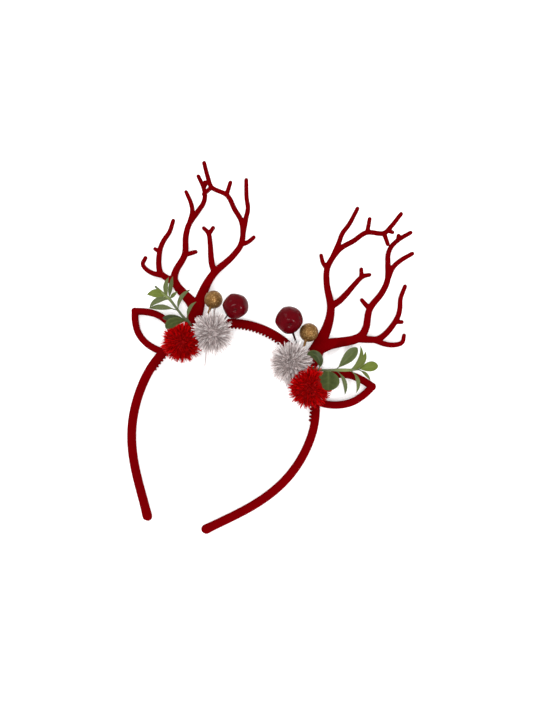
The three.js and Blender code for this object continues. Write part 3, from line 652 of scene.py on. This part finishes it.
def make_ear(name, sign, material):
    root, _ = band_at(sign * EAR_ARC)
    root.z = BAND_DEPTH / 2
    tilt = math.radians(EAR_TILT)
    axis = Vector((sign * math.cos(tilt), math.sin(tilt), 0))
    across = UP.cross(axis)
    shape = Shape()
    for side in (across, -across):
        shape.add_loft(ear_limb_rings(root, axis, side))
    shape.add_loft(ear_tip_rings(root + axis * EAR_LENGTH))
    piece = from_shape(f"{name}_flock", shape)
    fuse(piece, FINE_VOXEL, LIMB_SOFTENING)
    keep_off_band(piece)
    finish_piece(piece, name, material)


# Antlers

def limb_rings(rows, bow, foot, sign):
    def place(out, up):
        forward = (bow["reach"] + bow["twist"] * out / 100) * max(up / 100, 0) ** bow["power"]
        return foot + Vector((sign * out / 100 * ANTLER_REACH, up / 100 * ANTLER_HEIGHT, forward))

    path = Path([place(out, up) for out, up, _ in rows])
    widths = [width for _, _, width in rows]
    steps = max(math.ceil(path.length / LIMB_STEP), LIMB_LEAST_STEPS)
    stations = [(step / steps, 0.0, 1.0) for step in range(steps + 1)]
    stations += [(1.0, math.sin(angle), math.cos(angle)) for angle in map(math.radians, LIMB_ROUNDING)]
    rings = []
    for share, beyond, round_off in stations:
        spot = path.place_at(share)
        width = TRUNK_WIDTH * float(np.interp(spot, range(len(widths)), widths)) / 100
        thick = min(width / TRUNK_WIDTH, 1.0)
        thick = thick * thick * (3 - 2 * thick)
        depth = TIP_DEPTH + (TRUNK_DEPTH - TIP_DEPTH) * thick
        tangent = path.tangent(share)
        point = path.at(share) + tangent * beyond * width / 2
        height = max((point.y - foot.y) / ANTLER_HEIGHT, 0.0)
        slope = bow["reach"] * bow["power"] * height ** (bow["power"] - 1) / ANTLER_HEIGHT
        face = Vector((0, -slope, 1))
        face = (face - tangent * face.dot(tangent)).normalized()
        depth *= LIMB_END_DEPTH + (1 - LIMB_END_DEPTH) * round_off
        section = plate_section(width * round_off, depth)
        rings.append(place_ring(section, point, face.cross(tangent), face))
    return rings


def make_antler(name, sign, material):
    foot, _ = band_at(sign * ANTLER_ARC)
    foot.z = BAND_DEPTH / 2
    shape = Shape()
    for limbs, bow in ((INNER_LIMBS, INNER_BOW), (OUTER_LIMBS, OUTER_BOW)):
        for rows in limbs.values():
            shape.add_loft(limb_rings(rows, bow, foot, sign))
    piece = from_shape(f"{name}_flock", shape)
    fuse(piece, ANTLER_VOXEL, LIMB_SOFTENING)
    keep_off_band(piece)
    finish_piece(piece, name, material)


def keep_off_band(piece):
    """Pushes the part of a skin that would run through the band's body out to the band's side."""
    points = []
    for name, side in SIDES.items():
        for point in BAND_HALVES[name][0][::2]:
            points.append((side["sign"] * point.x, point.y))
    line = np.asarray(points)
    clear = BAND_WALL / 2 - BAND_SINK
    for vertex in piece.data.vertices:
        spot = np.array((vertex.co.x, vertex.co.y)) / MM
        away = spot - line
        distances = np.hypot(away[:, 0], away[:, 1])
        nearest = int(distances.argmin())
        if 1e-6 < distances[nearest] < clear:
            push = away[nearest] / distances[nearest] * clear
            vertex.co.x = (line[nearest][0] + push[0]) * MM
            vertex.co.y = (line[nearest][1] + push[1]) * MM
    piece.data.update()


# Leaves

def leaf_rings(row, base, sign):
    """Sections of a cupped leaf, with a raised midrib, from its stalk to its end."""
    length = LEAF_LENGTH * row.length / 100
    width = LEAF_WIDTH * row.width / 100
    stalk, blunt, belly = LEAF_FORMS[row.form]
    stations = [0.0, stalk / 2]
    for step in range(LEAF_STATIONS + 1):
        eased = math.sin(step / LEAF_STATIONS * math.pi / 2) ** LEAF_EASE
        stations.append(stalk + (1 - stalk) * eased)
    point = base.copy()
    before = 0.0
    rings = []
    blades = []
    for share in stations:
        middle = (share + before) / 2
        pitch = math.radians(row.rise + row.sag * middle)
        heading = math.radians(row.turn + row.curl * middle)
        flat = math.cos(pitch)
        tangent = Vector((sign * flat * math.cos(heading), flat * math.sin(heading), math.sin(pitch)))
        point = point + tangent * (share - before) * length
        before = share
        blade = max((share - stalk) / (1 - stalk), 0.0)
        swelling = max(math.sin(math.pi * min(blade, 0.999) ** belly), 0.0) ** blunt
        across = max(width * swelling, STALK_WIDTH * (LEAF_NECK if blade < 0.5 else LEAF_POINT))
        rings.append(level_ring(leaf_section(across, blade), point, tangent, sign * row.roll))
        blades.append(blade)
    return rings, blades


def leaf_paleness_and_sheen(across, blade):
    """How pale a leaf is: along its edges and its side veins, with painted sheen along its midrib."""
    edge = EDGE_BLOOM * abs(across) ** 5
    # Painted sheen along the midrib.
    rib = PAINTED_RIB_SHEEN * math.exp(-(across / RIB_WIDTH) ** 2) * (1 - 0.6 * blade)
    wave = math.sin((blade - 0.3 * abs(across)) * LEAF_VEINS * math.pi)
    return edge + rib + VEIN_BLOOM * max(wave, 0.0) ** 6


def leaf_section(width, blade):
    """A shallow gutter: its upper side, then its lower side back."""
    cup = LEAF_CUP * width
    thick = LEAF_THICK * (1 - LEAF_THINNING * blade)
    rib = LEAF_GROOVE * (1 - blade)
    upper, lower = [], []
    for column in range(LEAF_COLUMNS + 1):
        across = 1 - 2 * column / LEAF_COLUMNS
        height = cup * across * across
        edge = 1 - LEAF_EDGE_THINNING * abs(across) ** 3
        groove = rib * math.exp(-(across / LEAF_GROOVE_WIDTH) ** 2)
        upper.append((width / 2 * across, height + thick / 2 * edge - groove))
        lower.append((width / 2 * across, height - thick / 2 * edge - groove))
    return upper + lower[::-1]


def stem_node(share):
    """How near a place on the stem is to the node that most leaves leave it at."""
    return math.exp(-((share - STEM_NODE_AT) / STEM_NODE_REACH) ** 2)


def add_stem(shape, path):
    rings = []
    for step in range(SPRIG_STEPS + 1):
        share = step / SPRIG_STEPS
        radius = STALK_WIDTH / 2 * (1 + (TWIG_END - 1) * share) * (1 + STEM_NODE * stem_node(share))
        rings.append(level_ring(round_section(radius, SPRIG_SIDES), path.at(share), path.tangent(share)))
    shape.add_loft(rings, STEM_TONE)
    for vertex in range(len(shape.points)):
        shape.paleness_and_sheen[vertex] = STEM_BLOOM * stem_node(vertex / len(shape.points))


def add_leaf(shape, row, base, sign):
    rings, blades = leaf_rings(row, base, sign)
    first = len(shape.points)
    shape.add_loft(rings, row.tone)
    size = len(rings[0])
    for index, blade in enumerate(blades):
        for corner in range(size):
            column = min(corner, size - 1 - corner)
            vertex = first + index * size + corner
            shape.paleness_and_sheen[vertex] = leaf_paleness_and_sheen(1 - 2 * column / LEAF_COLUMNS, blade)
            if blade <= 0:
                shape.tones[vertex] = STEM_TONE


def roughen_leaves(piece, shape):
    """Gives each vertex of the leaves a small uneven lift, as moulded leaves have."""
    for vertex in piece.data.vertices:
        if shape.tones[vertex.index] < STEM_TONE:
            vertex.co.z += noise.noise(vertex.co * LEAF_LUMP_SCALE) * LEAF_LUMPS * MM
    piece.data.update()


def make_sprig(name, sprig, material):
    sign = sprig["sign"]
    root = Vector(sprig["root"])
    points = []
    for out, up, rise in sprig["stem"]:
        points.append(root + Vector((
            sign * SPRIG_LENGTH * out / 100, SPRIG_LENGTH * up / 100, SPRIG_RISE * rise / 100,
        )))
    path = Path(points)
    shape = Shape()
    add_stem(shape, path)
    for row in sprig["leaves"]:
        add_leaf(shape, row, path.at(row.at / 100), sign)
    piece = from_shape(f"{name}_leaves", shape)
    roughen_leaves(piece, shape)
    finish_piece(piece, name, material)
    return piece


# Gold balls and berries

def unit_sphere(subdivisions):
    mesh = bmesh.new()
    bmesh.ops.create_icosphere(mesh, subdivisions=subdivisions, radius=1.0)
    points = [vertex.co.copy() for vertex in mesh.verts]
    faces = [tuple(vertex.index for vertex in face.verts) for face in mesh.faces]
    mesh.free()
    return points, faces


def add_ball(shape, points, faces, tones):
    first = len(shape.points)
    shape.points.extend(points)
    shape.tones.extend(tones)
    shape.faces.extend(tuple(first + index for index in face) for face in faces)


def add_pick_stem(shape, pick, ball_radius, radius, tone):
    """The stem from a pompom to its ball, which bends a little and flares at the ball."""
    middle = Vector(pick["middle"])
    pompom = Vector(POMPOMS[pick["pompom"]]["middle"])
    turn = math.radians(pick["foot"])
    foot = pompom + Vector((math.cos(turn), math.sin(turn), 0)) * (POMPOM_HEART + radius)
    away = (middle - foot).normalized()
    start = foot - away * STEM_SINK
    end = middle - away * (ball_radius - 1)
    side = away.cross(UP).normalized()
    rings = []
    for step in range(STEM_STEPS + 1):
        share = step / STEM_STEPS
        flare = 1 + STEM_FLARE * max(0.0, share - STEM_FLARE_AT) / (1 - STEM_FLARE_AT)
        point = start.lerp(end, share) + side * STEM_BEND * math.sin(math.pi * share)
        rings.append(level_ring(round_section(radius * flare, STEM_SIDES), point, away))
    shape.add_loft(rings, tone)


def make_gold_ball(name, pick, material):
    points, faces = unit_sphere(BALL_FINENESS)
    middle = Vector(pick["middle"])
    grains, tones = [], []
    for point in points:
        coarse = noise.noise(point * 9 + middle)
        fine = noise.random() - 0.5
        grain = GLITTER_WAVE * coarse + GLITTER_GRAIN * fine
        grains.append(middle + point * (BALL_RADIUS - GLITTER_SINK + grain))
        # A random tone per grain; its bright end is painted sparkle in the material.
        tones.append(noise.random())
    shape = Shape()
    add_ball(shape, grains, faces, tones)
    add_pick_stem(shape, pick, BALL_RADIUS, BALL_STEM, BALL_STEM_TONE)
    piece = from_shape(f"{name}_glitter", shape, smooth=False)
    finish_piece(piece, name, material)


def even_directions(count):
    golden = math.pi * (3 - math.sqrt(5))
    directions = []
    for index in range(count):
        z = 2 * (index + 0.5) / count - 1
        radius = math.sqrt(1 - z * z)
        directions.append(Vector((radius * math.cos(index * golden), radius * math.sin(index * golden), z)))
    return directions


def berry_swell(point, flats):
    """How far out the skin lies in a direction: a ball with soft flats pressed into it."""
    near = max(point.dot(flat) for flat in flats)
    flat_radius = BERRY_FLAT_DEPTH / max(near, 0.5)
    return BERRY_FULLNESS / (1 + flat_radius ** -BERRY_EDGE) ** (1 / BERRY_EDGE)


def make_berry(name, pick, size, material):
    points, faces = unit_sphere(BALL_FINENESS)
    middle = Vector(pick["middle"])
    radius = BERRY_RADIUS * size
    eye = Vector(BERRY_EYE).normalized()
    flats = []
    for direction in even_directions(BERRY_FLATS):
        jitter = noise.random_unit_vector() * BERRY_FLAT_JITTER
        flats.append((direction + jitter).normalized())
    skin, tones = [], []
    for point in points:
        off = (point - eye).length * radius
        dimple = BERRY_DIMPLE * math.exp(-(off / BERRY_DIMPLE_WIDTH) ** 2)
        wrinkle = sum(height * noise.noise(point * scale + middle) for scale, height in BERRY_WAVES)
        skin.append(middle + point * (radius * berry_swell(point, flats) + wrinkle - dimple))
        tones.append(1.0 if off < BERRY_EYE_RADIUS else 0.0)
    shape = Shape()
    add_ball(shape, skin, faces, tones)
    add_pick_stem(shape, pick, radius, BERRY_STEM, BERRY_STEM_TONE)
    piece = from_shape(f"{name}_skin", shape)
    finish_piece(piece, name, material)


# Pompoms

def faces_tree(pieces):
    """The faces of some pieces, to cast rays at."""
    points, faces = [], []
    for piece in pieces:
        first = len(points)
        points.extend(piece.matrix_world @ vertex.co for vertex in piece.data.vertices)
        faces.extend([first + index for index in polygon.vertices] for polygon in piece.data.polygons)
    return BVHTree.FromPolygons(points, faces)


def strip_lengths(name, middle, directions, tips, tree):
    """Shortens the strips that would run into a neighbour, the floor or another piece."""
    here = np.asarray(middle)
    for other, row in POMPOMS.items():
        if other == name:
            continue
        between = np.asarray(row["middle"]) - here
        distance = np.linalg.norm(between)
        towards = directions @ (between / distance)
        limit = distance / 2 + POMPOMS[name]["past"]
        nearer = np.minimum(tips, limit / np.maximum(towards, SIDEWAYS))
        tips = np.where(towards > SIDEWAYS, nearer, tips)
    floor_room = (middle[2] - FLOOR_ROOM) / np.maximum(-directions[:, 2], SIDEWAYS)
    tips = np.minimum(tips, floor_room)
    start = Vector(middle) * MM
    for index, direction in enumerate(directions):
        _, _, _, distance = tree.ray_cast(start, Vector(direction), tips[index] * MM)
        if distance is not None:
            tips[index] = distance / MM - STRIP_GAP
    return tips


def bare_leaves(middle, directions, tips, leaves):
    """Presses down the strips that would hide a leaf, because the leaves lie on the tinsel."""
    centre = Vector(middle)
    sight = (centre - Vector(CAMERA_PLACE)).normalized()
    for index, direction in enumerate(directions):
        while tips[index] > COVER_LEAST:
            tip = centre + Vector(direction) * tips[index]
            if leaves.ray_cast(tip * MM, sight, COVER_REACH * MM)[0] is None:
                break
            tips[index] -= COVER_STEP
    return tips


def unit_rows(rows):
    return rows / np.linalg.norm(rows, axis=1, keepdims=True)


def strip_directions(draw):
    """The way each strip starts, the way it ends, and the clump that pulls its end over."""
    own = unit_rows(draw.normal(size=(STRIP_COUNT, 3)))
    clumps = unit_rows(draw.normal(size=(CLUMP_COUNT, 3)))
    nearest = (own @ clumps.T).argmax(axis=1)
    pulled = unit_rows(own * (1 - CLUMP_PULL) + clumps[nearest] * CLUMP_PULL)
    return own, pulled, nearest


def strip_reaches(draw, look, nearest):
    """Which strips are wide, and how far each would reach: a clump's strips reach about alike."""
    clump_reach = draw.uniform(0.0, 1.0, CLUMP_COUNT)[nearest]
    wide = draw.uniform(0.0, 1.0, STRIP_COUNT) < WIDE_SHARE
    spread = 0.5 * clump_reach + 0.5 * draw.uniform(0.0, 1.0, STRIP_COUNT)
    short = POMPOM_HEART + NARROW["start"] + NARROW["spread"] * spread ** NARROW["power"]
    start = POMPOM_HEART + WIDE["start"]
    long = start + (POMPOM_REACH[look] - start) * spread ** WIDE["power"]
    return wide, np.where(wide, long, short)


def wide_or_narrow(draw, wide, column):
    """Draws a value for each strip, from the wide or the narrow strips' range."""
    first = draw.uniform(*WIDE[column], len(wide))
    second = draw.uniform(*NARROW[column], len(wide))
    return np.where(wide, first, second)


def make_strips(draw, middle, own, pulled, tips, wide):
    """Every strip's corners, section by section, and its tone. A strip curls and twists on its way out."""
    count = len(tips)
    root = np.minimum(STRIP_ROOT, tips - STRIP_LEAST)
    side = unit_rows(np.cross(pulled, draw.normal(size=(count, 3))))
    lift = np.cross(pulled, side)
    curl = draw.uniform(-STRIP_CURL, STRIP_CURL, count)
    turn = draw.uniform(-STRIP_TWIST, STRIP_TWIST, count)
    width = wide_or_narrow(draw, wide, "widths")
    tone = wide_or_narrow(draw, wide, "tones")
    blocks = []
    for share, taper in STRIP_TAPER:
        direction = unit_rows(own * (1 - share) + pulled * share)
        radius = root + (tips - root) * share
        spot = middle + direction * radius[:, None] + side * (curl * share ** 2)[:, None]
        angle = turn * share
        across = side * np.cos(angle)[:, None] + lift * np.sin(angle)[:, None]
        facing = lift * np.cos(angle)[:, None] - side * np.sin(angle)[:, None]
        for along, out in STRIP_SECTION:
            blocks.append(spot + across * (along * taper * width)[:, None] + facing * out)
    points = np.stack(blocks, axis=1).reshape(-1, 3)
    points[:, 2] = np.maximum(points[:, 2], STRIP_LEVEL)
    return points, tone


def strip_faces(count, stations, corners):
    faces = []
    size = stations * corners
    for strip in range(count):
        first = strip * size
        for station in range(stations - 1):
            low = first + station * corners
            for corner in range(corners):
                after = (corner + 1) % corners
                faces.append((low + corner, low + after, low + corners + after, low + corners + corner))
        faces.append(tuple(first + corner for corner in reversed(range(corners))))
        faces.append(tuple(first + size - corners + corner for corner in range(corners)))
    return faces


def add_heart(shape, name, middle, tree):
    """The dense middle, where the strips are too close to be told apart, coloured darkest as painted shade.
    """
    points, faces = unit_sphere(HEART_FINENESS)
    directions = np.asarray([tuple(point) for point in points])
    tips = np.full(len(points), POMPOM_HEART - HEART_SINK)
    tips = np.maximum(strip_lengths(name, middle, directions, tips, tree), HEART_LEAST)
    centre = Vector(middle)
    lumps = []
    for point, tip in zip(points, tips):
        lumps.append(centre + point * (float(tip) + HEART_LUMPS * (noise.random() - 0.5)))
    add_ball(shape, lumps, faces, [HEART_PAINTED_SHADE_TONE] * len(lumps))


def strand_rings(strand):
    path = Path([Vector(point) for point in strand["points"]])
    section = round_section(strand["radius"], STRAND_SIDES)
    rings = []
    for step in range(STRAND_STEPS + 1):
        share = step / STRAND_STEPS
        rings.append(level_ring(section, path.at(share), path.tangent(share)))
    return rings


def make_pompom(name, row, material, tree, leaves):
    draw = np.random.default_rng(row["seed"])
    own, pulled, nearest = strip_directions(draw)
    wide, reach = strip_reaches(draw, row["look"], nearest)
    tips = strip_lengths(name, row["middle"], pulled, reach, tree)
    tips = bare_leaves(row["middle"], pulled, tips, leaves)
    keep = tips > STRIP_SHORTEST
    own, pulled, tips, wide = own[keep], pulled[keep], tips[keep], wide[keep]
    points, tone = make_strips(draw, np.asarray(row["middle"]), own, pulled, tips, wide)
    # Painted shade: strips that point sideways get a darker tone.
    tone *= 1 - RIM_SHADE[row["look"]] * (1 - np.maximum(pulled[:, 2], 0.0))
    sections, corners = len(STRIP_TAPER), len(STRIP_SECTION)
    shape = Shape()
    shape.points = points.tolist()
    shape.faces = strip_faces(len(tips), sections, corners)
    shape.tones = np.repeat(tone, sections * corners).tolist()
    add_heart(shape, name, row["middle"], tree)
    for strand in STRANDS.get(name, ()):
        shape.add_loft(strand_rings(strand), strand["tone"])
    piece = from_shape(f"{name}_tinsel", shape, smooth=False)
    finish_piece(piece, name, material)


# Materials

class Nodes:
    """A material whose colour is worked out by nodes."""

    def __init__(self, name):
        self.material = bpy.data.materials.new(name)
        self.material.use_nodes = True
        self.tree = self.material.node_tree
        self.shader = self.tree.nodes["Principled BSDF"]
        self.coordinates = self.tree.nodes.new("ShaderNodeTexCoord").outputs["Object"]

    def set(self, **values):
        for name, value in values.items():
            self.shader.inputs[name.replace("_", " ")].default_value = value

    def link(self, output, socket):
        self.tree.links.new(output, self.shader.inputs[socket])

    def noise(self, scale, detail):
        node = self.tree.nodes.new("ShaderNodeTexNoise")
        node.inputs["Scale"].default_value = scale
        node.inputs["Detail"].default_value = detail
        self.tree.links.new(self.coordinates, node.inputs["Vector"])
        return node.outputs["Fac"]

    def attribute(self, name):
        node = self.tree.nodes.new("ShaderNodeAttribute")
        node.attribute_name = name
        return node.outputs["Fac"]

    def ramp(self, value, stops):
        node = self.tree.nodes.new("ShaderNodeValToRGB")
        elements = node.color_ramp.elements
        while len(elements) < len(stops):
            elements.new(0.5)
        for element, (position, colour) in zip(elements, stops):
            element.position = position
            element.color = (*colour, 1.0)
        self.tree.links.new(value, node.inputs["Fac"])
        return node.outputs["Color"]

    def mix(self, first, second, factor):
        node = self.tree.nodes.new("ShaderNodeMix")
        node.data_type = "RGBA"
        for socket, value in ((node.inputs[0], factor), (node.inputs[6], first), (node.inputs[7], second)):
            if isinstance(value, bpy.types.NodeSocket):
                self.tree.links.new(value, socket)
            elif isinstance(value, tuple):
                socket.default_value = (*value, 1.0)
            else:
                socket.default_value = value
        return node.outputs[2]

    def math(self, operation, first, second):
        node = self.tree.nodes.new("ShaderNodeMath")
        node.operation = operation
        for socket, value in zip(node.inputs, (first, second)):
            if isinstance(value, bpy.types.NodeSocket):
                self.tree.links.new(value, socket)
            else:
                socket.default_value = value
        return node.outputs[0]

    def bump(self, height, strength, distance):
        node = self.tree.nodes.new("ShaderNodeBump")
        node.inputs["Strength"].default_value = strength
        node.inputs["Distance"].default_value = distance
        self.tree.links.new(height, node.inputs["Height"])
        self.link(node.outputs["Normal"], "Normal")


def flock_look():
    look = Nodes("red flock")
    patches = look.noise(90.0, 3.0)
    fibres = look.noise(3800.0, 2.0)
    broad = look.ramp(patches, [(0.3, (0.09, 0.0, 0.0007)), (0.7, (0.115, 0.0, 0.0009))])
    colour = look.mix(broad, (0.16, 0.0003, 0.0012), look.math("MULTIPLY", fibres, 0.3))
    look.link(colour, "Base Color")
    look.bump(fibres, 0.5, 0.00012)
    look.set(Roughness=0.95, Sheen_Weight=0.2, Sheen_Roughness=0.45, Specular_IOR_Level=0.0)
    look.set(Sheen_Tint=(0.6, 0.004, 0.01, 1.0))
    return look.material


def tinsel_look(name, row):
    look = Nodes(f"{name} tinsel")
    tone = look.attribute("tone")
    colour = look.ramp(tone, [(0.0, row["dark"]), (0.5, row["middle"]), (1.0, row["bright"])])
    streaks = look.noise(700.0, 2.0)
    colour = look.mix(colour, row["dark"], look.math("MULTIPLY", streaks, 0.35))
    look.link(colour, "Base Color")
    look.set(Roughness=row["roughness"], Metallic=row["metal"], Specular_IOR_Level=0.05)
    return look.material


def gold_look():
    look = Nodes("gold glitter")
    tone = look.attribute("tone")
    # Grain tones differ at random; the bright end of the ramp is painted sparkle.
    colour = look.ramp(tone, [
        (0.0, (0.09, 0.042, 0.012)), (0.6, (0.2, 0.1, 0.028)),
        (0.8, (0.3, 0.165, 0.05)), (1.0, (1.0, 0.74, 0.36)),
    ])
    grains = look.noise(2600.0, 1.0)
    colour = look.mix(colour, (0.12, 0.055, 0.016), look.math("MULTIPLY", grains, 0.5))
    look.link(colour, "Base Color")
    look.bump(grains, 0.4, 0.0001)
    look.set(Roughness=0.38, Metallic=0.5, Specular_IOR_Level=0.15)
    return look.material


def berry_look():
    look = Nodes("dark red berry")
    tone = look.attribute("tone")
    skin = look.ramp(look.noise(260.0, 4.0), [(0.3, (0.06, 0.0, 0.0016)), (0.7, (0.088, 0.0, 0.0025))])
    colour = look.mix(skin, (0.02, 0.004, 0.004), look.math("MULTIPLY", tone, 0.5))
    look.link(colour, "Base Color")
    look.bump(look.noise(620.0, 2.0), 0.12, 0.0003)
    look.set(Roughness=0.12, Specular_IOR_Level=0.05)
    return look.material


def leaf_look():
    look = Nodes("green leaf")
    tone = look.attribute("tone")
    greens = look.ramp(tone, [
        (0.0, (0.006, 0.011, 0.001)), (0.35, (0.03, 0.045, 0.003)), (0.5, (0.07, 0.085, 0.03)),
        (0.62, (0.09, 0.11, 0.014)), (0.8, (0.11, 0.15, 0.01)), (1.0, (0.075, 0.09, 0.045)),
    ])
    shade = look.noise(170.0, 3.0)
    colour = look.mix(greens, (0.008, 0.016, 0.0015), look.math("MULTIPLY", shade, 0.45))
    mottle = look.noise(420.0, 5.0)
    # Paleness, with painted sheen along the midrib, and a random mottle.
    pale = look.math("ADD", look.attribute("pale_and_sheen"), look.math("MULTIPLY", mottle, 0.4))
    colour = look.mix(colour, (0.175, 0.21, 0.07), look.math("MULTIPLY", pale, 0.4))
    look.link(colour, "Base Color")
    look.bump(look.noise(1500.0, 3.0), 0.25, 0.0002)
    look.set(Roughness=0.42, Specular_IOR_Level=0.14)
    return look.material


def floor_look():
    look = Nodes("pale floor")
    tint = look.ramp(look.noise(3.0, 2.0), [(0.4, (0.88, 0.88, 0.88)), (0.6, (0.9, 0.9, 0.9))])
    look.link(tint, "Base Color")
    look.set(Roughness=0.9, Emission_Color=(1.0, 1.0, 1.0, 1.0), Emission_Strength=FLOOR_GLOW)
    return look.material


# Stage

def add_camera():
    data = bpy.data.cameras.new("camera")
    data.lens = CAMERA_LENS
    data.sensor_width = SENSOR_WIDTH
    camera = bpy.data.objects.new("camera", data)
    bpy.context.scene.collection.objects.link(camera)
    right = Vector(CAMERA_RIGHT)
    up = -Vector(CAMERA_DOWN)
    back = right.cross(up)
    turn = camera.matrix_world.to_3x3()
    turn.col[0], turn.col[1], turn.col[2] = right, up, back
    camera.matrix_world = turn.to_4x4()
    camera.location = Vector(CAMERA_PLACE) * MM
    bpy.context.scene.camera = camera


def add_light(name, row):
    data = bpy.data.lights.new(name, "AREA")
    data.shape = "DISK"
    data.size = row["size"]
    data.energy = row["watts"]
    light = bpy.data.objects.new(name, data)
    light.location = row["place"]
    sight = Vector(LIGHT_TARGET) - Vector(row["place"])
    light.rotation_euler = sight.to_track_quat("-Z", "Y").to_euler()
    bpy.context.scene.collection.objects.link(light)


def add_floor():
    mesh = bpy.data.meshes.new("floor")
    corners = ((-1, -1), (1, -1), (1, 1), (-1, 1))
    points = [(FLOOR_REACH * x, FLOOR_REACH * y, FLOOR_LEVEL) for x, y in corners]
    mesh.from_pydata(points, [], [(0, 1, 2, 3)])
    floor = bpy.data.objects.new("floor", mesh)
    floor.data.materials.append(floor_look())
    bpy.context.scene.collection.objects.link(floor)


def add_daylight():
    world = bpy.data.worlds.new("soft daylight")
    world.use_nodes = True
    background = world.node_tree.nodes["Background"]
    background.inputs["Color"].default_value = (1.0, 1.0, 1.0, 1.0)
    background.inputs["Strength"].default_value = 1.0
    bpy.context.scene.world = world
    bpy.context.scene.view_settings.view_transform = "Standard"


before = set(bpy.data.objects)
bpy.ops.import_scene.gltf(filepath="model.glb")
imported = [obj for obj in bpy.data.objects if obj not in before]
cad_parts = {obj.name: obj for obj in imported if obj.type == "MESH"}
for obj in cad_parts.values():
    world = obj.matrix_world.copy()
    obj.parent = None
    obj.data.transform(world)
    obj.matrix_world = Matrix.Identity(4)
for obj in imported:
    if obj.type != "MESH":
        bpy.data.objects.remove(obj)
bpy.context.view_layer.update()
noise.seed_set(SEED)

add_camera()
add_floor()
add_daylight()
for light_name, light_row in LIGHTS.items():
    add_light(light_name, light_row)
flock = flock_look()
make_band(flock)
for side_name, side_row in SIDES.items():
    make_ear(f"ear_{side_name}", side_row["sign"], flock)
    make_antler(f"antler_{side_name}", side_row["sign"], flock)
leaf = leaf_look()
sprig_pieces = [make_sprig(sprig_name, sprig_row, leaf) for sprig_name, sprig_row in SPRIGS.items()]
gold = gold_look()
for ball_name in ("gold_ball_left", "gold_ball_right"):
    make_gold_ball(ball_name, PICKS[ball_name], gold)
berry = berry_look()
for berry_name, berry_size in BERRY_SIZES.items():
    make_berry(berry_name, PICKS[berry_name], berry_size, berry)
tinsels = {tinsel_name: tinsel_look(tinsel_name, tinsel_row) for tinsel_name, tinsel_row in TINSELS.items()}
obstacles = faces_tree([node for name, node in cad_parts.items() if "pompom" not in name])
leaf_faces = faces_tree(sprig_pieces)
for pompom_name, pompom_row in POMPOMS.items():
    make_pompom(pompom_name, pompom_row, tinsels[pompom_row["look"]], obstacles, leaf_faces)
